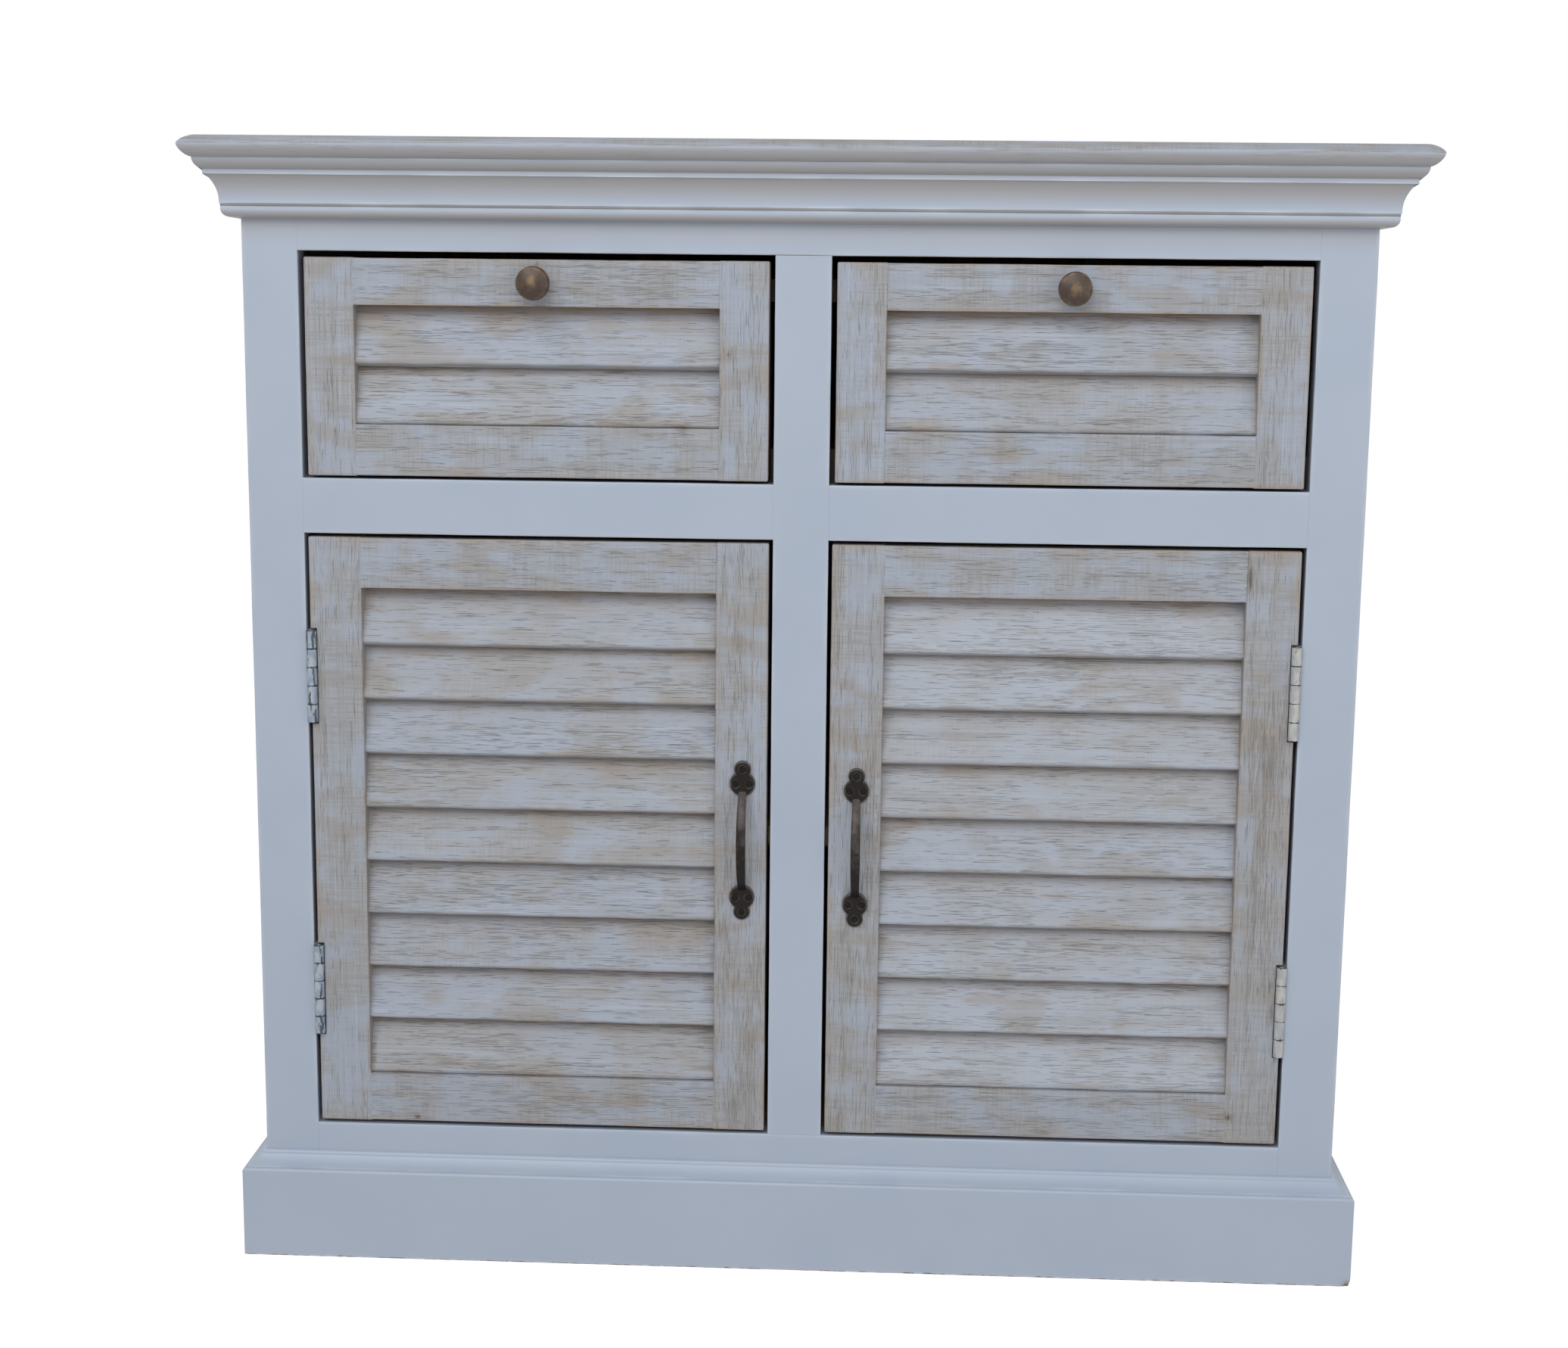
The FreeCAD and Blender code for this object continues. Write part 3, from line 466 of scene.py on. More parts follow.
@dataclass
class LouvreSlat:
    """One leaning louvre: a slat whose lower front edge is rounded to a nose.

    Args:
        ends: its ends along X.
        face: the Y of the nose's front.
        base: the Z of its heel, the lowest line of its back edge.
        rise: how far it is to the next louvre.
        seed: sets its grain and the wear of its nose.
        thickness: the thickness of the slat.
        tilt: how far its top leans back, in radians.
        nose: the radius of the nose.
        step: the spacing of its points along X.
        wear: how far the nose wanders up and down.
        drop: how far the nose is lowered, to rest on the rail below it.
        nose_reach: how high and how deep the nose's wandering is felt.
        bow: how far the slat wanders to the front and back.
        rubbed: the wear of the nose.
        shadows: the painted shade under the louvre above, as a thin line and a broad one.
        dirty_end: the soiling at its ends.
        dirty_back: the soiling on its back.
    """

    ends: Pair
    face: float
    base: float
    rise: float
    seed: int
    thickness: float = 10 * MM
    tilt: float = math.radians(17)
    nose: float = 2.5 * MM
    step: float = 2.5 * MM
    wear: float = 0.35 * MM
    drop: float = 0.0
    nose_reach: Pair = (9 * MM, 6 * MM)
    bow: float = 0.25 * MM
    rubbed: Fade = Fade(0.4, 1.1 * MM)
    shadows: tuple[Fade, Fade] = (Fade(0.4, 1.8 * MM), Fade(0.45, 9 * MM))
    dirty_end: Fade = Fade(0.25, 2 * MM)
    dirty_back: float = 0.15

    def surface(self) -> Surface:
        """The slat's skin: its section is carried along X while its nose wanders.

        The section is a parallelogram that leans back, whose front lower corner is an arc.
        Its points follow the underside, the nose, the front, the top and the back.

        Returns:
            The surface, with its grain, the rub of its nose and the painted shade under the next
            one.
        """
        sine, cosine = math.sin(self.tilt), math.cos(self.tilt)
        lean = self.rise * math.tan(self.tilt)
        corner = np.array((self.face, self.base + self.thickness * sine))
        heel = np.array((self.face + self.thickness * cosine, self.base))
        middle = corner + self.nose * np.array((sine + cosine, cosine - sine))
        turn = np.linspace(1.5 * np.pi, np.pi, 8) - self.tilt
        arc = middle + self.nose * np.stack((np.cos(turn), np.sin(turn)), 1)
        shift = np.array((lean, self.rise))
        outline = np.concatenate((
            np.linspace(heel, arc[0], 5)[:-1], arc[:-1],
            np.linspace(arc[-1], corner + shift, 26)[:-1],
            np.linspace(corner + shift, heel + shift, 5)[:-1],
            np.linspace(heel + shift, heel, 9)[:-1]))
        count = max(8, round((self.ends[1] - self.ends[0]) / self.step))
        along = np.linspace(self.ends[0], self.ends[1], count)
        rings = points_at(along[:, None], *outline.T)
        below = np.clip(1 - (outline[:, 1] - self.base) / self.nose_reach[0], 0, 1)
        front = np.clip((heel[0] - outline[:, 0]) / self.nose_reach[1], 0, 1)
        fall = self.wear * ripple(along, 0.09, self.seed) - self.drop
        rings[..., 2] += fall[:, None] * (below * front)[None]
        rings[..., 1] += self.bow * ripple(along, 0.3, self.seed + 5)[:, None]
        surface = skin(rings[:, ::-1])
        points = surface.points
        height = points[:, 2] - corner[1]
        in_front = (points[:, 1] - self.face) < height.clip(0) * math.tan(self.tilt) + 2 * MM
        end = np.minimum(points[:, 0] - self.ends[0], self.ends[1] - points[:, 0]).clip(0)
        wave = wave_of(points, self.seed)
        depth = (self.rise - height - MM).clip(0)
        # painted shade on the slat's top, under the nose of the louvre above
        under = self.shadows[0].at(depth, wave) + self.shadows[1].at(depth)
        surface.values = {
            "grain": points[:, (0, 2, 1)] + (self.seed * GRAIN_STEP, 0, 0),
            "rub": wave * self.rubbed.at(np.abs(height - 0.5 * MM)),
            "grime": np.where(in_front, np.maximum(under, self.dirty_end.at(end)),
                              self.dirty_back),
        }
        return surface


# finishes

def linear(code: str) -> tuple[float, float, float, float]:
    """A colour written as sRGB hex, as the linear numbers that a shader takes.

    Args:
        code: six hex digits after a number sign.

    Returns:
        Red, green and blue as linear light, and an alpha of 1.
    """
    parts = [int(code[i:i + 2], 16) / 255 for i in (1, 3, 5)]
    red, green, blue = (part / 12.92 if part <= 0.04045 else ((part + 0.055) / 1.055) ** 2.4
                        for part in parts)
    return red, green, blue, 1.0


def emptied(holder: bpy.types.Material | bpy.types.World) -> bpy.types.NodeTree:
    """Clears the node tree of a new material or world for the nodes to come.

    Args:
        holder: the material or world.

    Returns:
        Its node tree.
    """
    holder.use_nodes = True
    holder.node_tree.nodes.clear()
    return holder.node_tree


def add(tree: bpy.types.NodeTree, kind: str, links: dict | None = None,
        **settings: object) -> bpy.types.Node:
    """Adds one node, with its settings and with what goes into its sockets.

    Args:
        tree: the node tree that the node joins.
        kind: the node's type, without its ShaderNode prefix.
        links: for each input, by name or number, a value or the output that feeds it.
        settings: the node's own properties.

    Returns:
        The new node.
    """
    node = tree.nodes.new("ShaderNode" + kind)
    for name, setting in settings.items():
        setattr(node, name, setting)
    for socket, source in (links or {}).items():
        if isinstance(source, Socket):
            tree.links.new(source, node.inputs[socket])
        else:
            node.inputs[socket].default_value = source
    return node


@dataclass(frozen=True)
class Pattern:
    """What a finish's colours are made with: places, noises, sums and mixes of one material.

    Args:
        tree: the material's nodes.
        shader: the node that the colour and the relief go into.
    """

    tree: bpy.types.NodeTree
    shader: bpy.types.Node

    def place(self) -> Socket:
        """The object's own coordinates, in metres."""
        return add(self.tree, "TexCoord").outputs["Object"]

    def value(self, name: str, output: str = "Fac") -> Socket:
        """One of the values that the surface carries for each point."""
        return add(self.tree, "Attribute", attribute_name=name).outputs[output]

    def height_of(self, vector: Socket) -> Socket:
        """The Z of a place or a direction."""
        return add(self.tree, "SeparateXYZ", {0: vector}).outputs["Z"]

    def noise(self, place: Socket, size: Size, detail: float = 3,
              distortion: float = 0) -> Socket:
        """Noise whose features have a real size.

        Args:
            place: the coordinates that it is read at, in metres.
            size: how long its features are along each of them.
            detail: how many finer octaves it has.
            distortion: how far it is stirred.

        Returns:
            The noise, about 0.5 on average.
        """
        stretch = add(self.tree, "Mapping", {"Vector": place, "Scale": [1 / s for s in size]})
        cloud = add(self.tree, "TexNoise",
                    {"Vector": stretch.outputs[0], "Scale": 1.0, "Detail": detail,
                     "Distortion": distortion}, noise_dimensions="3D")
        return cloud.outputs["Fac"]

    def ramp(self, source: Socket, start: float, end: float, low: float = 0,
             high: float = 1) -> Socket:
        """Carries one range over to another, smoothly.

        Args:
            source: the number.
            start: the source's value that gives low.
            end: the source's value that gives high.
            low: the number at and before the start.
            high: the number at and past the end.

        Returns:
            The number in the new range.
        """
        return add(self.tree, "MapRange",
                   {"Value": source, "From Min": start, "From Max": end, "To Min": low,
                    "To Max": high}, interpolation_type="SMOOTHSTEP").outputs[0]

    def combine(self, operation: str, first: object, second: object,
                clamp: bool = False) -> Socket:
        """One operation on two numbers."""
        return add(self.tree, "Math", {0: first, 1: second}, operation=operation,
                   use_clamp=clamp).outputs[0]

    def plus(self, first: object, second: object, clamp: bool = False) -> Socket:
        """The sum of two numbers, if asked held between 0 and 1."""
        return self.combine("ADD", first, second, clamp)

    def times(self, first: object, second: object) -> Socket:
        """The product of two numbers."""
        return self.combine("MULTIPLY", first, second)

    def most(self, first: object, second: object) -> Socket:
        """The greater of two numbers."""
        return self.combine("MAXIMUM", first, second)

    def less(self, first: object, second: object) -> Socket:
        """The first number less the second."""
        return self.combine("SUBTRACT", first, second)

    def mix(self, share: Socket, under: Socket | str, over: Socket | str) -> Socket:
        """Lays one colour over another; a word stands for an sRGB code.

        Args:
            share: how much of the upper colour is seen.
            under: the lower colour.
            over: the upper colour.

        Returns:
            The mixed colour.
        """
        under, over = (linear(part) if isinstance(part, str) else part
                       for part in (under, over))
        return add(self.tree, "MixRGB", {0: share, 1: under, 2: over}).outputs[0]

    def lay(self, colour: Socket, height: Socket, depth: float,
            strength: float = 1.0) -> None:
        """Gives the shader its colour, and a relief of a real depth.

        Args:
            colour: the colour.
            height: the relief, from 0 to 1.
            depth: how deep that is, in metres.
            strength: how much of it is seen.
        """
        self.tree.links.new(colour, self.shader.inputs["Base Color"])
        bump = add(self.tree, "Bump",
                   {"Height": height, "Distance": depth, "Strength": strength})
        self.tree.links.new(bump.outputs[0], self.shader.inputs["Normal"])


@dataclass(frozen=True)
class Finish:
    """What every finish has.

    Args:
        name: the material's name.
        slot: the record's slot that its pieces are meant for; not used.
        roughness: how dull it is.
        metallic: how much of it is bare metal.
        gloss: the strength of its highlights.
    """

    name: str
    slot: str
    roughness: float = 0.5
    metallic: float = 0.0
    gloss: float = 0.5

    def material(self) -> bpy.types.Material:
        """The finish as a material, made once and then shared.

        Returns:
            The material.
        """
        found = bpy.data.materials.get(self.name)
        if found is not None:
            return found
        material = bpy.data.materials.new(self.name)
        tree = emptied(material)
        shader = add(tree, "BsdfPrincipled",
                     {"Roughness": self.roughness, "Metallic": self.metallic,
                      "Specular IOR Level": self.gloss})
        add(tree, "OutputMaterial", {"Surface": shader.outputs["BSDF"]})
        self.paint(Pattern(tree, shader))
        return material

    def paint(self, pattern: Pattern) -> None:
        """Adds this finish's own colours and relief."""
        raise NotImplementedError

    def dress(self, *nodes: str) -> None:
        """Gives the material to carried-over nodes of the construction.

        Args:
            nodes: their names.
        """
        for name in nodes:
            for holder in frame["nodes"][name].material_slots:
                holder.material = self.material()


@dataclass(frozen=True)
class SatinPaint(Finish):
    """Brushed satin paint on wood: a soft gloss, faint brush strokes, and a dusting with painted
    shade under the crown and on faces that look down.

    Args:
        colour: the coat, which is clouded into the colour named cloud.
        worn: the coat where it is rubbed thin on edges, lighter than the coat: wear and a painted
            highlight.
        dust: a dusting and painted shade, laid on the crown, on the rail under it and where the
            face looks down.
        dirt: what gathers in corners, and the painted shade in the jambs and along the crown.
        bare: the wood where the coat is chipped.
        dusty_from: the height where the dusting and painted shade under the crown start.
        dusty_to: the height where they are thickest.
        bead: the heights between which the crown's lowest bead gets neither dusting nor painted
            shade.
    """

    name: str = "satin_paint_pale_blue_grey"
    slot: str = "body_paint"
    roughness: float = 0.42
    colour: str = "#abb6c5"
    cloud: str = "#a7b3c4"
    worn: str = "#c3cbd3"
    dust: str = "#a19c99"
    dirt: str = "#54463a"
    bare: str = "#7d6d5d"
    dusty_from: float = 0.838
    dusty_to: float = 0.868
    bead: Pair = (0.8665, 0.8795)

    def paint(self, pattern: Pattern) -> None:
        """Lays the coat with its brush strokes.

        Args:
            pattern: the material's nodes.
        """
        place = pattern.place()
        pattern.lay(self.coat(pattern, place),
                    pattern.noise(place, (0.03, 0.004, 0.0012), detail=2), 0.05 * MM, 0.6)

    def coat(self, pattern: Pattern, place: Socket) -> Socket:
        """The coat's colour, from faint clouds to the chips in it.

        The soiling and painted shade, and the chips, lie where the surface's values for them say.

        Args:
            pattern: the material's nodes.
            place: the object's coordinates.

        Returns:
            The colour.
        """
        ramp, mix = pattern.ramp, pattern.mix
        cloud = pattern.noise(place, (0.09, 0.09, 0.09), detail=4)
        nicks = pattern.noise(place, (0.006, 0.006, 0.002))
        colour = mix(ramp(cloud, 0.3, 0.7), self.colour, self.cloud)
        up = pattern.height_of(place)
        facing = pattern.height_of(add(pattern.tree, "NewGeometry").outputs["Normal"])
        low, high = self.bead
        # painted shade with a dusting: on the crown above its bead, under the top board, and on
        # the rail under the crown
        above = ramp(up, high, high + 22 * MM, 0.0, 0.76)
        below = ramp(up, low + MM, low)
        crown = pattern.times(ramp(up, self.dusty_from, self.dusty_to, 0.0, 0.46),
                              pattern.most(above, below))
        # painted shade in the same colour on faces that look down
        dusting_and_shading = pattern.most(crown, ramp(facing, 0.15, -0.6, 0.0, 0.85))
        colour = mix(dusting_and_shading, colour, self.dust)
        # worn edges, painted lighter than the coat: wear and a painted highlight
        rub = pattern.times(pattern.value("rub"), ramp(cloud, 0.35, 0.6, 0.35, 1.0))
        colour = mix(rub, colour, self.worn)
        # soiling, and painted shade in the jambs and along the crown's quirk and ovolo
        colour = mix(pattern.value("grime"), colour, self.dirt)
        chip = pattern.plus(pattern.value("chip"), ramp(nicks, 0.3, 0.7, -0.25, 0.25))
        return mix(ramp(chip, 0.4, 0.6), colour, self.bare)


@dataclass(frozen=True)
class WashedMango(Finish):
    """Mango wood under a rubbed white wash: short dark pores and tan grain show through.

    Args:
        wash: the wash where it is cool.
        cream: the same where it is warm.
        chalk: where it lies thick.
        tan: where the wood shows through it.
        smoke: the marks of the saw and the brush.
        pore: the open pores.
        knot: the darkest stains.
        bare: the worn edges.
        grime: the soiling in the corners, and the painted shade under the louvres' noses and on
            the boards' sides in the gaps.
    """

    name: str = "white_washed_mango_wood"
    slot: str = "washed_wood"
    roughness: float = 0.62
    wash: str = "#9fa7b4"
    cream: str = "#9e9fa1"
    chalk: str = "#b2b9c4"
    tan: str = "#938a80"
    smoke: str = "#7c7b7c"
    pore: str = "#736a60"
    knot: str = "#574d44"
    bare: str = "#a08d79"
    grime: str = "#94795a"

    def paint(self, pattern: Pattern) -> None:
        """Lays the wood and its wash, with the pores sunk into it."""
        pattern.lay(*self.layers(pattern), 0.25 * MM)

    def layers(self, pattern: Pattern) -> tuple[Socket, Socket]:
        """The wash over the wood, on places along, across and into the grain.

        Cool and warm wash are clouded into each other, chalky streaks and a fine crosswise
        weave of saw and brush marks lie on them, then tan patches, pores and worn edges.

        Args:
            pattern: the material's nodes.

        Returns:
            The colour and the height.
        """
        noise, ramp, mix = pattern.noise, pattern.ramp, pattern.mix
        plus, times, most = pattern.plus, pattern.times, pattern.most
        grain, whole = pattern.value("grain", "Vector"), pattern.place()
        streak = noise(grain, (0.11, 0.0016, 0.0016))
        figure = noise(grain, (0.14, 0.009, 0.009), distortion=0.4)
        patch = noise(whole, (0.05, 0.04, 0.04), detail=4, distortion=0.4)
        pores = noise(grain, (0.02, 0.0006, 0.0006), detail=1, distortion=0.1)
        lines = noise(grain, (0.16, 0.0011, 0.0011), detail=1)
        saw = noise(grain, (0.0015, 0.03, 0.03), detail=1)
        spots = noise(whole, (0.075, 0.03, 0.03), distortion=0.4)
        stain, grime, rub, tint, rough, pale = map(
            pattern.value, ("stain", "grime", "rub", "tint", "rough", "pale"))

        warmth = plus(ramp(patch, 0.36, 0.64), tint)
        warmth = plus(warmth, ramp(figure, 0.4, 0.6, -0.25, 0.25), clamp=True)
        colour = mix(warmth, self.wash, self.cream)
        chalk = times(ramp(streak, 0.5, 0.68), ramp(figure, 0.6, 0.45, 0.2, 0.9))
        chalk = most(times(chalk, ramp(rough, 0, 1, 0.45, 1.0)), pale)
        colour = mix(chalk, colour, self.chalk)

        marks = times(ramp(saw, 0.44, 0.6), ramp(rough, 0.0, 0.3, 1.0, 0.35))
        weave = times(most(ramp(lines, 0.44, 0.6), marks), ramp(patch, 0.4, 0.6, 0.12, 0.36))
        colour = mix(weave, colour, self.smoke)
        tan = plus(ramp(spots, 0.52, 0.68, 0.0, 0.75), times(stain, 0.7), clamp=True)
        colour = mix(times(tan, ramp(streak, 0.3, 0.55, 1.0, 0.55)), colour, self.tan)

        gate = plus(ramp(figure, 0.42, 0.62, 0.0, 0.09), times(stain, 0.16))
        gate = plus(gate, ramp(rough, 0, 1, -0.03, 0.0))
        open_pores = ramp(plus(pores, gate), 0.65, 0.75)
        dark = times(ramp(rough, 0, 1, 0.25, 0.45), ramp(pale, 0.2, 0.8, 0.9, 0.4))
        colour = mix(times(open_pores, dark), colour, self.pore)
        colour = mix(ramp(stain, 0.85, 1.25, 0.0, 0.8), colour, self.knot)
        colour = mix(times(rub, ramp(patch, 0.35, 0.6, 0.4, 0.9)), colour, self.bare)
        # soiling in the corners, and painted shade under the noses and in the gaps
        colour = mix(grime, colour, self.grime)
        return colour, pattern.less(plus(streak, times(saw, 0.3)), times(open_pores, 1.4))


@dataclass(frozen=True)
class WornTop(WashedMango):
    """The top board: washed wood above, and below it the body's paint, worn off in streaks."""

    name: str = "washed_top_board_over_paint"

    def paint(self, pattern: Pattern) -> None:
        """Lays the wood where the value named bare and a long streaky noise allow it.

        Args:
            pattern: the material's nodes.
        """
        place = pattern.place()
        wood, height = self.layers(pattern)
        streak = pattern.noise(place, (0.09, 0.0018, 0.0018), detail=4)
        share = pattern.plus(pattern.ramp(streak, 0.35, 0.65, -0.4, 0.4),
                             pattern.value("bare"))
        pattern.lay(pattern.mix(pattern.ramp(share, 0.3, 0.75), BODY.coat(pattern, place),
                                wood), height, 0.12 * MM)


@dataclass(frozen=True)
class InnerWood(Finish):
    """Planed hardwood, as inside a carcass: straight grain and a dry surface.

    Args:
        light: the wood.
        dark: the bands and fibres in it.
    """

    name: str = "planed_bare_hardwood"
    slot: str = "inner_wood"
    roughness: float = 0.7
    light: str = "#b39873"
    dark: str = "#957a58"

    def paint(self, pattern: Pattern) -> None:
        """Lays long bands of grain with fine fibres, both along the depth and upwards.

        Args:
            pattern: the material's nodes.
        """
        place = pattern.place()
        figure = pattern.noise(place, (0.012, 0.35, 0.3), distortion=0.3)
        fibre = pattern.noise(place, (0.0012, 0.04, 0.04))
        share = pattern.plus(pattern.ramp(figure, 0.35, 0.65, 0, 0.7),
                             pattern.ramp(fibre, 0.3, 0.7, 0, 0.3))
        pattern.lay(pattern.mix(share, self.light, self.dark), fibre, 0.1 * MM)


@dataclass(frozen=True)
class OldMetal(Finish):
    """Metal or nylon with a patina: a dark skin, rubbed through where hands touch it.

    Args:
        skin: the patina.
        rubbed: what shows where it is rubbed through; on the handle and the knob it also lays
            painted highlights.
        rub_start: from which sum of noise and rub it wears.
        rub_end: at which sum it is gone.
    """

    skin: str = "#2b2622"
    rubbed: str = "#5d4e40"
    rub_start: float = 0.45
    rub_end: float = 0.7

    def paint(self, pattern: Pattern) -> None:
        """Lays the skin, its rubbed places and fine pits.

        Args:
            pattern: the material's nodes.
        """
        place = pattern.place()
        cloud = pattern.noise(place, (0.006, 0.006, 0.006), detail=4)
        pits = pattern.noise(place, (0.0008, 0.0008, 0.0008), detail=2)
        share = pattern.ramp(pattern.plus(cloud, pattern.value("rub")), self.rub_start,
                             self.rub_end)
        pattern.lay(pattern.mix(share, self.skin, self.rubbed), pits, 0.08 * MM)


@dataclass(frozen=True)
class ChippedPaint(Finish):
    """Thick paint over steel: chipped to dark metal in small flakes, and dark in thin lines laid
    as painted shade.

    Args:
        colour: the upper coat.
        shade: the coat under it.
        metal: the steel in the chips, also the colour of the painted shade in the thin lines.
        rust: the stains on the coat.
        flaked: from which sum of noise and seam the coat is gone.
    """

    name: str = "chipped_paint_on_steel"
    slot: str = "hinge_paint"
    roughness: float = 0.4
    colour: str = "#a9b1b9"
    shade: str = "#8b98a8"
    metal: str = "#434a53"
    rust: str = "#8a7550"
    flaked: float = 0.6

    def paint(self, pattern: Pattern) -> None:
        """Lays two coats, the flakes that they have lost and a trace of rust.

        Args:
            pattern: the material's nodes.
        """
        place = pattern.place()
        cloud = pattern.noise(place, (0.005, 0.005, 0.009))
        flake = pattern.noise(place, (0.0026, 0.0026, 0.013), distortion=0.3)
        stain = pattern.noise(place, (0.006, 0.006, 0.006), detail=2)
        colour = pattern.mix(pattern.ramp(cloud, 0.4, 0.6), self.colour, self.shade)
        colour = pattern.mix(pattern.ramp(stain, 0.66, 0.74, 0.0, 0.6), colour, self.rust)
        # the value named seam lays painted shade as well as chips
        bare = pattern.ramp(pattern.plus(flake, pattern.value("seam")), self.flaked,
                            self.flaked + 0.05)
        pattern.lay(pattern.mix(bare, colour, self.metal), pattern.less(1.0, bare),
                    0.12 * MM)


BODY = SatinPaint()
WASHED = WashedMango()
TOP = WornTop()
INNER = InnerWood()
RUNNER = InnerWood(name="waxed_dark_hardwood_runners", light="#4a3c2f", dark="#3a2f25")
IRON = OldMetal(name="blackened_forged_iron", slot="handle_iron", roughness=0.42,
                metallic=0.15, gloss=0.2, skin="#1b1613", rubbed="#595350", rub_end=1.15)
BRASS = OldMetal(name="antique_brass", slot="knob_brass", roughness=0.4, metallic=0.4,
                 skin="#3f322b", rubbed="#80694c", rub_end=1.25)
HINGE = ChippedPaint()
PALE_HINGE = ChippedPaint(name="cream_paint_on_steel", colour="#b9b8b3", shade="#a3a6a9",
                          metal="#57534e", flaked=0.68)
STEEL = OldMetal(name="blackened_steel_screws", slot="screw_steel", roughness=0.6,
                 gloss=0.15, skin="#141211", rubbed="#24201e")
ZINC = OldMetal(name="dull_zinc_steel", slot="screw_steel", roughness=0.4, metallic=0.9,
                skin="#5f5c58", rubbed="#85827d")
PLASTIC = OldMetal(name="moulded_black_nylon", slot="catch_plastic", roughness=0.5,
                   skin="#1b1b1c", rubbed="#29292a")


# pieces

def join(name: str, data: bpy.types.ID, place: Matrix | None = None) -> bpy.types.Object:
    """Adds an object to the scene.

    Args:
        name: its name.
        data: its mesh, lamp or camera.
        place: its place and turn, or None for the origin.

    Returns:
        The object.
    """
    thing = bpy.data.objects.new(name, data)
    bpy.context.scene.collection.objects.link(thing)
    if place is not None:
        thing.matrix_world = place
    return thing


def make_piece(name: str, surface: Surface, finish: Finish, body: str,
               *nodes: str) -> bpy.types.Object:
    """Turns a surface into a piece that rides on a body.

    Args:
        name: the piece's name.
        surface: its points, faces and values.
        finish: what it is dressed in.
        body: the body that it moves with.
        nodes: the nodes of the construction that it stands for.

    Returns:
        The piece.
    """
    mesh = bpy.data.meshes.new(name)
    mesh.from_pydata(surface.points, [], surface.quads.tolist() + surface.triangles.tolist())
    mesh.shade_smooth()
    mesh.set_sharp_from_angle(angle=math.radians(40))
    for key, value in surface.values.items():
        kind, slot = ("FLOAT_VECTOR", "vector") if value.ndim == 2 else ("FLOAT", "value")
        mesh.attributes.new(key, kind, "POINT").data.foreach_set(
            slot, np.ascontiguousarray(value, np.float32).ravel())
    piece = join(name, mesh)
    mesh.materials.append(finish.material())
    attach(piece, body)
    if nodes:
        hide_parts(*nodes)
    LOG.info("%s on %s: %d points", name, body, len(surface.points))
    return piece


def node_box(name: str) -> Box:
    """The lowest and highest corners of a node of the construction."""
    low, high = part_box(name)
    return np.array(low), np.array(high)


def wave_of(points: np.ndarray, seed: int, longest: float = 0.12) -> np.ndarray:
    """An uneven factor around 1, never under 0.3, that varies along a board or a frame."""
    return (1 + 0.6 * ripple(points[:, 0] + points[:, 2], longest, seed)).clip(0.3)


